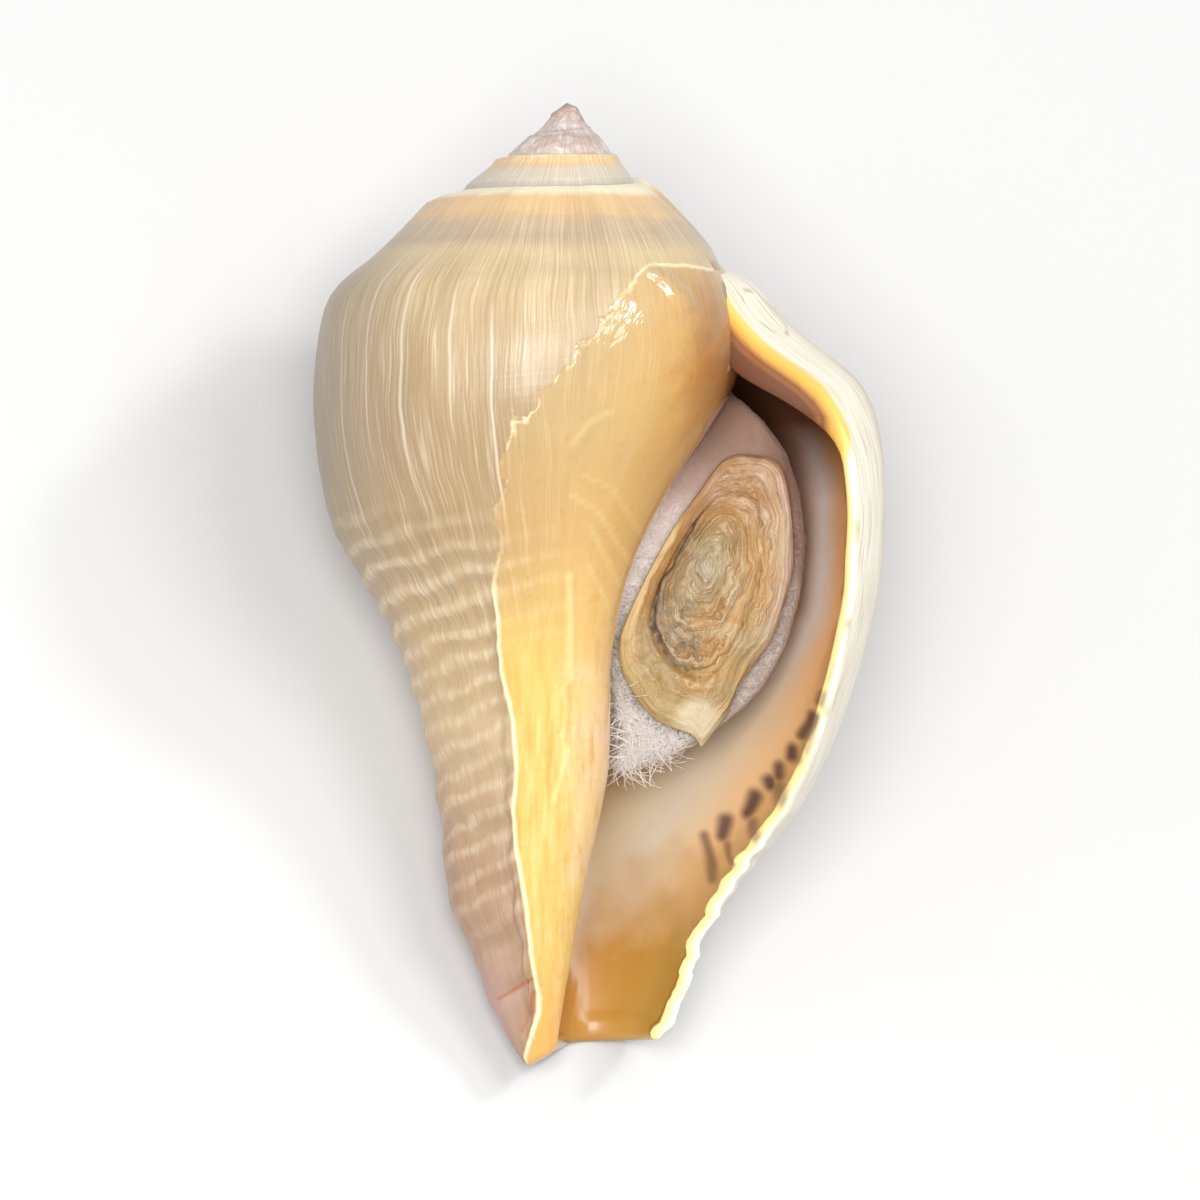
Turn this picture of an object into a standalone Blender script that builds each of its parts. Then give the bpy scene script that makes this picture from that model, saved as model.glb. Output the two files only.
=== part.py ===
"""Volema pyrum: a pear-shaped sea snail's shell with its horny operculum and a wad of cotton.

The shell is one wall that winds round a slanting axis. Its outer face is a loft of growth profiles,
each a radius against a depth below the apex, set round the axis at a growth angle. Angles are in
degrees: 0 is the viewer's right, 90 is towards the viewer, and they rise towards the lip at the end
of the last whorl. The profiles at angles from -360 to the lip are measured; the spire above them
follows the line of the suture. The inner face of the last half whorl is the same loft, one wall in.
"""
import functools
import math

import bmesh
import bpy
import numpy as np

MM = 0.001

# Growth profiles in mm: (depth below the apex, radius from the axis), from the suture down
PROFILES = {
    -360: [(7.8, 6.9), (8.2, 8.0), (8.7, 8.9), (9.6, 10.0), (11.6, 12.1), (13.1, 13.6), (14.8, 15.1),
           (16.4, 16.1), (19.0, 17.4), (22.0, 18.1), (25.0, 18.0), (27.5, 17.2), (29.3, 16.3), (32.9, 14.0),
           (37.2, 11.0), (42.1, 8.3), (46.3, 6.4), (51.4, 5.1), (56.0, 4.6), (60.0, 4.9), (65.1, 5.1),
           (70.7, 4.3), (77.3, 2.8), (84.0, 1.8), (90.1, 1.1), (93.0, 0.9)],
    -270: [(8.7, 9.0), (9.1, 10.2), (9.7, 11.3), (11.0, 12.9), (13.0, 15.0), (15.5, 17.3), (18.0, 19.2),
           (21.0, 20.5), (25.0, 21.2), (29.0, 20.9), (33.0, 19.8), (37.0, 17.8), (41.0, 15.6), (45.0, 13.3),
           (49.0, 11.5), (53.0, 10.2), (58.0, 9.2), (64.0, 8.5), (70.0, 7.7), (77.0, 6.3), (84.0, 4.6),
           (89.0, 3.2), (92.5, 2.2), (94.4, 1.6)],
    -180: [(9.2, 10.6), (9.5, 11.8), (9.8, 12.8), (10.1, 13.5), (11.0, 14.4), (13.0, 16.2), (16.0, 19.2),
           (18.5, 22.2), (20.7, 23.6), (24.3, 24.3), (29.3, 24.6), (34.5, 24.2), (39.3, 23.3), (43.2, 22.1),
           (47.0, 19.8), (51.1, 17.0), (54.2, 15.4), (59.6, 13.4), (67.1, 11.6), (74.7, 10.4), (78.5, 10.1),
           (83.2, 8.4), (87.9, 6.2), (89.9, 5.8), (91.6, 4.6), (94.2, 3.3), (95.7, 2.3)],
    -90: [(11.9, 12.8), (12.4, 14.6), (13.4, 16.3), (15.0, 18.3), (17.0, 20.7), (19.5, 23.4), (22.0, 25.5),
          (25.0, 27.1), (29.0, 28.3), (33.0, 28.6), (38.0, 28.2), (43.0, 27.0), (48.0, 25.0), (53.0, 22.7),
          (58.0, 20.4), (64.0, 17.9), (70.0, 15.6), (77.0, 13.0), (83.0, 10.8), (88.0, 8.5), (91.5, 6.2),
          (93.9, 3.8)],
    -45: [(14.3, 14.6), (14.9, 16.4), (16.0, 18.7), (18.0, 21.4), (20.5, 24.1), (23.5, 27.0), (27.0, 29.4),
          (31.0, 30.6), (36.0, 31.2), (41.0, 31.1), (46.0, 30.2), (52.0, 28.1), (58.0, 25.6), (64.0, 22.9),
          (70.0, 20.1), (76.0, 17.3), (81.0, 15.0), (86.0, 12.9), (90.0, 11.4), (92.3, 10.6), (93.4, 9.8)],
    0: [(16.4, 16.1), (17.0, 18.1), (18.6, 20.1), (20.4, 21.7), (21.9, 23.1), (23.7, 25.5), (25.4, 27.9),
        (27.7, 30.3), (31.5, 31.9), (36.0, 32.5), (42.0, 32.7), (47.9, 32.2), (53.0, 31.1), (58.1, 29.7),
        (65.3, 27.2), (70.4, 24.7), (76.5, 20.2), (79.5, 18.0), (83.1, 15.8), (87.8, 14.3), (90.9, 13.2),
        (92.3, 12.5), (93.2, 11.6)],
    27: [(17.1, 16.8), (18.7, 17.7), (20.9, 19.2), (23.3, 21.6), (24.9, 23.6), (26.4, 26.2), (28.1, 28.8),
         (30.2, 30.6), (32.5, 31.9), (36.0, 33.0), (41.0, 33.5), (47.0, 33.2), (53.0, 31.9), (60.0, 29.7),
         (65.0, 27.6), (70.0, 24.6), (76.5, 19.7), (80.0, 17.4), (83.1, 15.8), (87.8, 14.3), (90.9, 13.2),
         (92.3, 12.5), (93.2, 11.6)],
}

# The suture, where each whorl meets the one before it: angle, depth and radius in mm
SUTURE = [(-1620, 0.45, 0.55), (-1440, 1.1, 1.15), (-1260, 1.8, 1.9), (-1080, 2.7, 2.65), (-900, 3.6, 3.6),
          (-720, 5.0, 4.6), (-540, 5.9, 6.2), (-360, 7.8, 6.9), (-270, 8.7, 9.0), (-180, 9.2, 10.6),
          (-90, 11.9, 12.8), (-45, 14.3, 14.6), (0, 16.4, 16.1), (27, 17.1, 16.8), (387, 34.0, 33.0)]

GROWTH = 1.75               # how much larger each whorl is than the one before
LIP_ANGLE = 27.0            # where growth stopped, degrees
COLUMN = 10.0               # mesh columns, degrees apart
TURN = int(360 / COLUMN)
FIRST = -1603.0             # the growth angle where the spire begins
CAVITY_DEPTH = 210.0        # how far the hollow goes in from the lip, degrees
CANAL_OPEN = 90.0           # how far in from the lip the siphonal canal is an open groove, degrees
BAND_ROWS = 6               # rows between one suture and the next
WEDGE_ROWS = 3              # rows across the wall at the top of the lip, and round its edge
ROWS = 28                   # rows in a whole profile
WEDGE = 9.0                 # depth of the callus that fills the corner above the aperture, mm
WEDGE_SHARE = 0.12          # and the share of the body whorl's height that its rows take further down
BLEND = 6                   # how soon the rows below a suture fall into step with the whorl they lie on
LIP_WALL = 1.3              # thickness of the wall at the lip, mm
DEEP_WALL = 2.4             # and far inside
# How far back the lip's edge lies from the lip's angle: (depth in mm, degrees)
LIP_SWEEP = [(45.0, 0.0), (59.0, 4.0), (68.7, 10.0), (76.8, 17.0), (85.0, 22.0), (93.0, 24.0)]
FLOOR_TOP = 64.0            # depth of the hollow's floor at its inner end, mm
VAULT = 0.14                # share of the hollow's height in which its roof curves out to the wall
VAULT_POWER = 2.5           # how round that roof is
FLOOR_POWER = (4.0, 56.0)   # how square its floor is at the inner end, and how much more at the canal

CALLUS = 0.8                # height of the callus on the columella, mm
CALLUS_EDGE = -241.0        # its free edge, degrees
CALLUS_FADE = -190.0        # the angle where the face below that edge is level with the callus again
CALLUS_TOP = 43.0           # depth where it begins, mm
CALLUS_FOOT = 94.0          # depth where it ends, mm

GAP = 0.35                  # clearance between pieces, mm

# Operculum: its edge as (x, depth) in the shell's frame, round from the top, in mm
OPERCULUM_EDGE = [(17.2, 34.6), (20.8, 34.7), (22.7, 36.3), (23.4, 40.0), (23.9, 45.6), (23.0, 49.0),
                  (21.9, 53.2), (19.9, 55.8), (18.4, 58.3), (17.6, 60.6), (16.3, 62.3), (15.0, 64.1),
                  (14.2, 62.8), (11.6, 62.2), (9.8, 61.0), (7.9, 58.8), (6.6, 56.1), (6.4, 53.7),
                  (7.2, 51.3), (8.8, 47.6), (10.6, 44.0), (11.9, 41.7), (13.6, 39.3), (15.3, 36.8)]
OPERCULUM_HEART = (13.4, 50.0)      # the oldest part of the plate, where its rings start
OPERCULUM_LEFT = min(x for x, depth in OPERCULUM_EDGE)
OPERCULUM_LEVEL = -0.6      # how far towards the viewer the plate's face lies at its left edge, mm
OPERCULUM_LEAN = 0.16       # how fast it sinks towards the lip
OPERCULUM_THICK = 1.2       # thickness at the edge, mm
OPERCULUM_RINGS = [(1.0, -0.25), (0.965, 0.0), (0.87, -0.15), (0.74, 0.05), (0.64, 0.6), (0.5, 0.5),
                   (0.34, 0.15), (0.17, 0.35)]      # size of each ring and its height, mm

# Cotton wad: it fills the hollow behind the plate. Its free edge towards the lip is (depth, x), in mm
WAD_EDGE = [(28.6, 18.6), (31.0, 21.6), (34.0, 23.6), (38.0, 24.6), (43.0, 25.0), (48.0, 24.7),
            (53.0, 23.8), (58.0, 22.0), (61.0, 19.6), (64.0, 15.6), (66.4, 9.0)]
WAD_LEVEL = [(28.6, 2.1), (36.0, 0.0), (63.0, 0.0), (66.4, 0.7)]    # how far its face sinks: (depth, mm)
WAD_BACK = -170.0           # growth angle of its far end, degrees
WAD_SIDES = 28              # points round it
WAD_SECTIONS = 11           # sections along it
WAD_SPREAD = 0.4            # share of its length in which it widens to fill the hollow
WAD_TOP_SPARE = 3.0         # free height above it inside the hollow, mm
WAD_FOOT_SPARE = 4.0        # and below it
WAD_FOOT = 74.0             # its greatest depth, mm

# Rest: the shell lies on its back on a worn spot, with the end of its canal touching
ROLL = -15.0                # turn about the long axis, degrees: the lip's side is raised
WORN = 0.45                 # how much of the back is worn flat, mm
CANAL_WORN = 0.08           # and of the canal's end
BACK_END = 65.0             # the part of the back above this depth can be the worn spot, mm
CANAL_LENGTH = 30.0         # length of the canal's end that is no part of the worn spot, mm
CANAL_START = 80.0          # and the part below this depth can touch as the canal's end, mm


def smooth_through(xs, ys, x):
    """A smooth curve through points, with no overshoot between them."""
    xs = np.asarray(xs, float)
    ys = np.asarray(ys, float)
    step = np.diff(xs)
    slope = np.diff(ys) / step
    tangent = np.zeros_like(ys)
    same = slope[:-1] * slope[1:] > 0
    mean = 2 * slope[:-1] * slope[1:] / np.where(same, slope[:-1] + slope[1:], 1.0)
    tangent[1:-1] = np.where(same, mean, 0.0)
    tangent[0] = slope[0]
    tangent[-1] = slope[-1]
    x = np.clip(np.asarray(x, float), xs[0], xs[-1])
    at = np.clip(np.searchsorted(xs, x, side="right") - 1, 0, len(xs) - 2)
    t = (x - xs[at]) / step[at]
    rise = (3 * t ** 2 - 2 * t ** 3) * (ys[at + 1] - ys[at])
    lean = step[at] * ((t ** 3 - 2 * t ** 2 + t) * tangent[at] + (t ** 3 - t ** 2) * tangent[at + 1])
    return ys[at] + rise + lean


def ease(low, high, x):
    """0 below low, 1 above high, smooth between."""
    t = np.clip((np.asarray(x, float) - low) / (high - low), 0.0, 1.0)
    return t * t * (3 - 2 * t)


def suture(angle):
    """Depth and radius of the suture at a growth angle."""
    angles, depths, radii = zip(*SUTURE)
    return smooth_through(angles, depths, angle), smooth_through(angles, radii, angle)


def bottom_depth(angle):
    """Depth where the profile at a growth angle ends, at the tip or at the end of the canal."""
    keys = sorted(PROFILES)
    return smooth_through(keys, [PROFILES[key][-1][0] for key in keys], angle)


def floor_depth(angle):
    """Depth of the hollow's floor: it winds down to the canal's end as it nears the lip."""
    deep = LIP_ANGLE - CAVITY_DEPTH
    shut = LIP_ANGLE - CANAL_OPEN
    end = bottom_depth(-360.0)
    return FLOOR_TOP + (end - FLOOR_TOP) * np.clip((angle - deep) / (shut - deep), 0.0, 1.0) ** 0.8


def measured_radius(angle, depth):
    """Radius of the outer face at one growth angle from -360 on, at depths within its profile."""
    keys = sorted(PROFILES)
    top = suture(angle)[0]
    bottom = bottom_depth(angle)
    station = np.clip((depth - top) / (bottom - top), 0.0, 1.0)
    radii = []
    for key in keys:
        depths, values = zip(*PROFILES[key])
        radii.append(smooth_through(depths, values, depths[0] + station * (depths[-1] - depths[0])))
    radii = np.array(radii)
    out = [float(smooth_through(keys, radii[:, i], angle)) for i in range(radii.shape[1])]
    return callus_step(angle, depth, np.array(out))


def callus_step(angle, depth, radius):
    """The callus ends in a free edge, below which the body whorl's face lies lower."""
    beyond = ease(CALLUS_EDGE - 3.0, CALLUS_EDGE + 5.0, angle)
    beyond = beyond * (1.0 - ease(CALLUS_FADE - 35.0, CALLUS_FADE, angle))
    along = ease(CALLUS_TOP, CALLUS_TOP + 8.0, depth) * (1.0 - ease(CALLUS_FOOT - 4.0, CALLUS_FOOT, depth))
    return radius - CALLUS * beyond * along


def pillar_radius(angle, depth):
    """Radius of the hollow's inner side, the whorl one turn back, at angles up to the lip less a turn."""
    if angle >= -360.0:
        return measured_radius(angle, depth)
    size = GROWTH ** ((angle + 360.0) / 360.0)
    return size * measured_radius(-360.0, np.minimum(depth / size, bottom_depth(-360.0)))


def band(angle, share):
    """A spire whorl between two sutures: depth and radius at a share of the way down."""
    d0, r0 = suture(angle)
    d1, r1 = suture(angle + 360.0)
    last0, lastr0 = suture(-360.0)
    last1, lastr1 = suture(0.0)
    depth = last0 + share * (last1 - last0)
    swell = measured_radius(-360.0, depth) - (lastr0 + share * (lastr1 - lastr0))
    size = math.hypot(d1 - d0, r1 - r0) / math.hypot(last1 - last0, lastr1 - lastr0)
    swell = swell * size * (0.4 + 0.6 * float(ease(-540.0, -360.0, angle)))
    across = math.atan2(r1 - r0, d1 - d0)
    return (d0 + share * (d1 - d0) - swell * math.sin(across),
            r0 + share * (r1 - r0) + swell * math.cos(across))


def band_shares():
    """Where the rows of a band lie, closer together under the suture."""
    return (np.arange(BAND_ROWS + 1) / BAND_ROWS) ** 1.3


def outer_profile(angle):
    """Depths and radii of every row of the outer face at a growth angle."""
    rows = np.arange(ROWS + 1)
    share = band_shares()
    top = float(suture(angle)[0])
    next_top = float(suture(angle + 360.0)[0])
    bottom = float(bottom_depth(angle))
    if angle < -360.0:
        bottom = float(floor_depth(angle + 360.0))
        band_depth, band_radius = band(angle, share)
    else:
        band_depth = top + share * (next_top - top)
        band_radius = measured_radius(angle, band_depth)
    thick = WEDGE * next_top / float(suture(LIP_ANGLE)[0])
    if angle > LIP_ANGLE - 360.0:
        thick = WEDGE_SHARE * (bottom - next_top)
    wedge = next_top + thick * rows[1:WEDGE_ROWS + 1] / WEDGE_ROWS
    rest = np.linspace(wedge[-1], bottom, ROWS - BAND_ROWS - WEDGE_ROWS + 1)[1:]
    low_depth = np.concatenate([wedge, rest])
    low_radius = pillar_radius(angle, low_depth)
    if angle < -360.0:
        drop = (low_depth - next_top) / (bottom - next_top)
        step = band_radius[-1] - pillar_radius(angle, np.array([next_top]))[0]
        low_radius = low_radius + step * (1 - drop) ** BLEND
    return np.concatenate([band_depth, low_depth]), np.concatenate([band_radius, low_radius])


def lip_setback(depth):
    """How far the lip's edge lies back from the lip's angle at a depth, degrees."""
    depths, setbacks = zip(*LIP_SWEEP)
    return smooth_through(depths, setbacks, depth)


def turned(angle, depth):
    """The columns lean back with the lip's edge as they near it."""
    return angle - lip_setback(depth) * ease(LIP_ANGLE - 130.0, LIP_ANGLE, angle)


def wall(angle):
    """Thickness of the outer wall at a growth angle."""
    return LIP_WALL + (DEEP_WALL - LIP_WALL) * (1.0 - float(ease(LIP_ANGLE - 50.0, LIP_ANGLE, angle)))


def wall_radius(angle, depth):
    """Radius of the inner face of the outer wall, before it meets the pillar above and below."""
    down = np.linspace(float(suture(angle)[0]), float(bottom_depth(angle)), 160)
    out = measured_radius(angle, down)
    along = np.hypot(np.gradient(down), np.gradient(out))
    inner_depth = down + wall(angle) * np.gradient(out) / along
    inner_radius = out - wall(angle) * np.gradient(down) / along
    order = np.argsort(inner_depth)
    return np.interp(depth, inner_depth[order], inner_radius[order])


def inner_profile(angle, outer_depth):
    """Depths and radii of every row of the hollow's outer side at a growth angle."""
    deep = LIP_ANGLE - CAVITY_DEPTH
    shut = LIP_ANGLE - CANAL_OPEN
    start = float(suture(angle)[0])
    top = start + WEDGE * start / float(suture(LIP_ANGLE)[0])
    bottom = float(bottom_depth(angle))
    share = (outer_depth - start) / (bottom - start)
    level = outer_depth + (top - start) * (1.0 - share) ** BLEND
    level = (level - top) / (bottom - top)
    end = bottom if angle > shut else float(floor_depth(angle))
    depth = top + level * (end - top)
    pillar = pillar_radius(angle - 360.0, depth)
    reach = 1.0 - (1.0 - np.minimum(level / VAULT, 1.0)) ** VAULT_POWER
    if angle <= shut:
        power = FLOOR_POWER[0] + FLOOR_POWER[1] * ((angle - deep) / (shut - deep)) ** 2
        reach = reach * np.sqrt(np.clip(1.0 - level ** power, 0.0, 1.0))
    return depth, pillar + (wall_radius(angle, depth) - pillar) * reach


def place(angle, depth, radius):
    """A point of the shell: x to the viewer's right, y towards the apex, z towards the viewer."""
    turn = math.radians(angle)
    return (radius * math.cos(turn), -depth, radius * math.sin(turn))


class Loft:
    """Vertices and faces gathered for one closed mesh."""

    def __init__(self):
        self.points = []
        self.faces = []

    def point(self, place_mm):
        self.points.append(tuple(place_mm))
        return len(self.points) - 1

    def face(self, *corners):
        loop = []
        for corner in corners:
            if corner not in loop:
                loop.append(corner)
        if len(loop) > 2:
            self.faces.append(loop)

    def strip(self, one, other):
        """Quads between two rows of the same length."""
        for k in range(len(one) - 1):
            self.face(one[k], one[k + 1], other[k + 1], other[k])

    def zip_up(self, one, other):
        """Triangles between two rows that share both ends but differ in length."""
        a = 0
        b = 0
        while a < len(one) - 1 or b < len(other) - 1:
            if b == len(other) - 1 or (a + 1) / len(one) <= (b + 1) / len(other) and a < len(one) - 1:
                self.face(one[a], one[a + 1], other[b])
                a += 1
            else:
                self.face(one[a], other[b + 1], other[b])
                b += 1

    def fan(self, loop, centre):
        for k in range(len(loop)):
            self.face(loop[k], loop[(k + 1) % len(loop)], centre)


def shell_loft():
    """The whole shell as one closed surface, in its own frame, in mm."""
    loft = Loft()
    columns = int(round((LIP_ANGLE - FIRST) / COLUMN))
    angles = [LIP_ANGLE - (columns - j) * COLUMN for j in range(columns + 1)]
    lip = columns
    hollow = lip - int(CAVITY_DEPTH / COLUMN)
    shut = lip - int(CANAL_OPEN / COLUMN)
    foot = BAND_ROWS + WEDGE_ROWS

    apex = loft.point((0.0, 0.0, 0.0))
    outer = []
    depths = []
    for j, angle in enumerate(angles):
        depth, radius = outer_profile(angle) if j >= hollow - TURN else spire_profile(angle)
        column = [apex if j < TURN else outer[j - TURN][BAND_ROWS]]
        for i in range(1, len(depth)):
            column.append(loft.point(place(turned(angle, depth[i]), depth[i], radius[i])))
        outer.append(column)
        depths.append(depth)

    inner = {}
    for j in range(hollow, lip + 1):
        depth, radius = inner_profile(angles[j], depths[j])
        column = [outer[j - TURN][foot]]
        for i in range(1, ROWS + 1):
            column.append(loft.point(place(turned(angles[j], depth[i]), depth[i], radius[i])))
        if j <= shut:
            column[ROWS] = outer[j - TURN][ROWS]
        inner[j] = column

    for j in range(lip):
        loft.strip(outer[j][:BAND_ROWS + 1], outer[j + 1][:BAND_ROWS + 1])
        if j >= lip - TURN:
            loft.strip(outer[j][BAND_ROWS:foot + 1], outer[j + 1][BAND_ROWS:foot + 1])
        if j >= hollow - TURN:
            loft.strip(outer[j][foot:], outer[j + 1][foot:])
        if j >= hollow:
            loft.strip(inner[j], inner[j + 1])
    loft.face(*outer[0])
    loft.zip_up(outer[hollow - TURN][foot:], inner[hollow])

    rim = [outer[lip - TURN][BAND_ROWS:foot + 1]]
    for i in range(1, ROWS + 1):
        rim.append(rounded(loft, outer[lip][i], inner[lip][i], (0.0, 0.0, 1.0)))
    for i in range(ROWS):
        loft.strip(rim[i], rim[i + 1])

    mouth = []
    for j in range(shut, lip):
        mouth.append(rounded(loft, outer[j][ROWS], inner[j][ROWS], (0.0, -1.0, 0.0)))
    mouth.append(rim[ROWS])
    for k in range(len(mouth) - 1):
        loft.strip(mouth[k], mouth[k + 1])

    tip = [outer[j][ROWS] for j in range(shut - TURN, shut + 1)] + mouth[0][1:-1]
    centre = np.mean([loft.points[k] for k in tip], axis=0) + (0.0, -0.5, 0.0)
    loft.fan(tip, loft.point(centre))
    return loft


def spire_profile(angle):
    """The rows of a spire whorl that show: from its own suture to the next."""
    return band(angle, band_shares())


def rounded(loft, outside, inside, way):
    """A row of points over the wall's edge from its outer to its inner corner."""
    a = np.array(loft.points[outside])
    b = np.array(loft.points[inside])
    swell = 0.35 * min(float(np.linalg.norm(b - a)), 1.8)
    row = [outside]
    for q in range(1, WEDGE_ROWS):
        share = q / WEDGE_ROWS
        row.append(loft.point(a + (b - a) * share + np.array(way) * swell * math.sin(math.pi * share)))
    row.append(inside)
    return row


def wear_flat(work):
    """Cut away what lies under the resting plane and close the shell with flat faces."""
    geometry = work.verts[:] + work.edges[:] + work.faces[:]
    bmesh.ops.bisect_plane(work, geom=geometry, dist=1e-7, plane_co=(0, 0, 0), plane_no=(0, 0, 1),
                           clear_inner=True)
    bmesh.ops.holes_fill(work, edges=[edge for edge in work.edges if edge.is_boundary], sides=0)


def to_mesh(name, points, faces, worn=False):
    """A closed mesh in metres, its faces turned outwards."""
    mesh = bpy.data.meshes.new(name)
    work = bmesh.new()
    vertices = [work.verts.new(point) for point in np.asarray(points, float) * MM]
    for loop in faces:
        work.faces.new([vertices[k] for k in loop])
    loose = [vertex for vertex in work.verts if not vertex.link_faces]
    bmesh.ops.delete(work, geom=loose, context="VERTS")
    if worn:
        wear_flat(work)
    bmesh.ops.triangulate(work, faces=work.faces[:])
    bmesh.ops.recalc_face_normals(work, faces=work.faces[:])
    work.to_mesh(mesh)
    work.free()
    mesh.shade_smooth()
    mesh.set_sharp_from_angle(angle=math.radians(50.0))
    return mesh


def clear_scene():
    """Start from an empty scene."""
    for item in list(bpy.data.objects):
        bpy.data.objects.remove(item, do_unlink=True)


def material(name, colour, roughness):
    """A plain finish for one piece."""
    made = bpy.data.materials.new(name)
    made.use_nodes = True
    surface = made.node_tree.nodes["Principled BSDF"]
    surface.inputs["Base Color"].default_value = (*colour, 1.0)
    surface.inputs["Roughness"].default_value = roughness
    surface.inputs["Metallic"].default_value = 0.0
    made.diffuse_color = (*colour, 1.0)
    return made


def add_piece(collection, name, mesh, finish):
    """One piece as its own named object."""
    piece = bpy.data.objects.new(name, mesh)
    mesh.materials.append(finish)
    collection.objects.link(piece)
    return piece


def plate_level(x):
    """Height of the operculum's face at a distance across the shell."""
    return OPERCULUM_LEVEL - OPERCULUM_LEAN * (x - OPERCULUM_LEFT)


def operculum_loft():
    """The horny plate: rings round its heart, a raised oval inside a flat margin, and a flat back."""
    loft = Loft()
    heart = np.array(OPERCULUM_HEART)
    edge = np.array(OPERCULUM_EDGE) - heart
    rings = []
    for size, height in [(0.93, -OPERCULUM_THICK), (0.99, -OPERCULUM_THICK + 0.25)] + OPERCULUM_RINGS:
        row = []
        for x, depth in heart + edge * size:
            row.append(loft.point((x, -depth, plate_level(x) + height)))
        rings.append(row)
    for one, other in zip(rings, rings[1:]):
        loft.strip(one + one[:1], other + other[:1])
    x, depth = heart
    loft.fan(rings[0][::-1], loft.point((x, -depth, plate_level(x) - OPERCULUM_THICK)))
    loft.fan(rings[-1], loft.point((x, -depth, plate_level(x) + 0.3)))
    return loft


@functools.lru_cache(maxsize=None)
def hollow_section(angle):
    """Rows of the hollow at a whole growth angle: depth, radius of the pillar, radius of the wall."""
    depth, radius = inner_profile(float(angle), outer_profile(float(angle))[0])
    return depth, pillar_radius(angle - 360.0, depth), radius


def wad_level(x, depth):
    """Height of the wad's face: just under the plate, sinking above and below it."""
    depths, sinks = zip(*WAD_LEVEL)
    return plate_level(x) - OPERCULUM_THICK - GAP - float(np.interp(depth, depths, sinks))


def wad_point(share, across, down):
    """A point of the wad: a share of the way in, and across and down the hollow from -1 to 1."""
    edge_depth, edge_x = zip(*WAD_EDGE)
    deep = min(share / WAD_SPREAD, 1.0)
    angle = -10.0
    for _ in range(8):
        section, pillar, wall_row = hollow_section(round(min(angle, 5.0)))
        top = edge_depth[0] + deep * (section[0] + WAD_TOP_SPARE - edge_depth[0])
        foot = edge_depth[-1] + deep * (min(section[-1] - WAD_FOOT_SPARE, WAD_FOOT) - edge_depth[-1])
        depth = 0.5 * (top + foot) + 0.5 * (foot - top) * down
        near = float(np.interp(depth, section, pillar)) + 2 * GAP
        far = float(np.interp(depth, section, wall_row)) - 2 * GAP
        free = float(smooth_through(edge_depth, edge_x, depth)) / math.cos(math.radians(angle))
        far = max(near + 0.5, far + (min(free, far) - far) * (1.0 - deep))
        radius = near + (far - near) * (0.5 + 0.5 * across)
        x = radius * math.cos(math.radians(angle))
        front = math.degrees(math.asin(wad_level(x, depth) / radius))
        angle = front + (WAD_BACK - front) * share
    return place(angle, depth, radius)


def wad_loft():
    """The cotton: a plug lofted from under the plate to the back of the hollow."""
    loft = Loft()
    loops = [(0.0, 0.45), (0.0, 0.8), (0.0, 0.96)]
    loops += [(0.03 + 0.95 * k / WAD_SECTIONS, 1.0) for k in range(WAD_SECTIONS + 1)]
    loops += [(1.0, 0.85), (1.0, 0.45)]
    rows = []
    for share, size in loops:
        row = []
        for k in range(WAD_SIDES):
            turn = 2 * math.pi * k / WAD_SIDES
            across = math.copysign(abs(math.cos(turn)) ** 0.7, math.cos(turn))
            down = math.copysign(abs(math.sin(turn)) ** 0.9, math.sin(turn))
            row.append(loft.point(wad_point(share, across * size, down * size)))
        rows.append(row)
    for one, other in zip(rows, rows[1:]):
        loft.strip(one + one[:1], other + other[:1])
    loft.fan(rows[0][::-1], loft.point(wad_point(0.0, 0.0, 0.0)))
    loft.fan(rows[-1], loft.point(wad_point(1.0, 0.0, 0.0)))
    return loft


def lay_down(points, pitch):
    """Turn points from the shell's frame to the rest frame: rolled, then the apex end raised."""
    roll = math.radians(ROLL)
    lift = math.radians(pitch)
    x, y, z = np.asarray(points, float).T
    side = x * math.cos(roll) + z * math.sin(roll)
    up = -x * math.sin(roll) + z * math.cos(roll)
    along = y * math.cos(lift) - up * math.sin(lift)
    height = y * math.sin(lift) + up * math.cos(lift)
    return np.stack([side, along, height], 1)


def resting_pitch(points):
    """The pitch at which the worn back and the end of the canal share one plane."""
    points = np.asarray(points, float)
    back = points[points[:, 1] > -BACK_END]
    canal = points[points[:, 1] < -CANAL_START]
    low = 5.0
    high = 35.0
    for _ in range(40):
        pitch = 0.5 * (low + high)
        spare = lay_down(canal, pitch)[:, 2].min() + CANAL_WORN - (lay_down(back, pitch)[:, 2].min() + WORN)
        if spare > 0:
            low = pitch
        else:
            high = pitch
    return pitch


def worn_spot(laid, faces):
    """Centre of the patch of the back that the resting plane cuts, and the height of that plane."""
    back = laid[:, 1] > laid[:, 1].min() + CANAL_LENGTH
    level = laid[back, 2].min() + WORN
    crossings = []
    for loop in faces:
        for one, other in zip(loop, loop[1:] + loop[:1]):
            a = laid[one]
            b = laid[other]
            if back[one] and (a[2] - level) * (b[2] - level) < 0.0:
                crossings.append(a + (b - a) * (level - a[2]) / (b[2] - a[2]))
    crossings = np.array(crossings)
    middle = 0.5 * (crossings.min(axis=0) + crossings.max(axis=0))
    return np.array([middle[0], middle[1], level])


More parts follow.
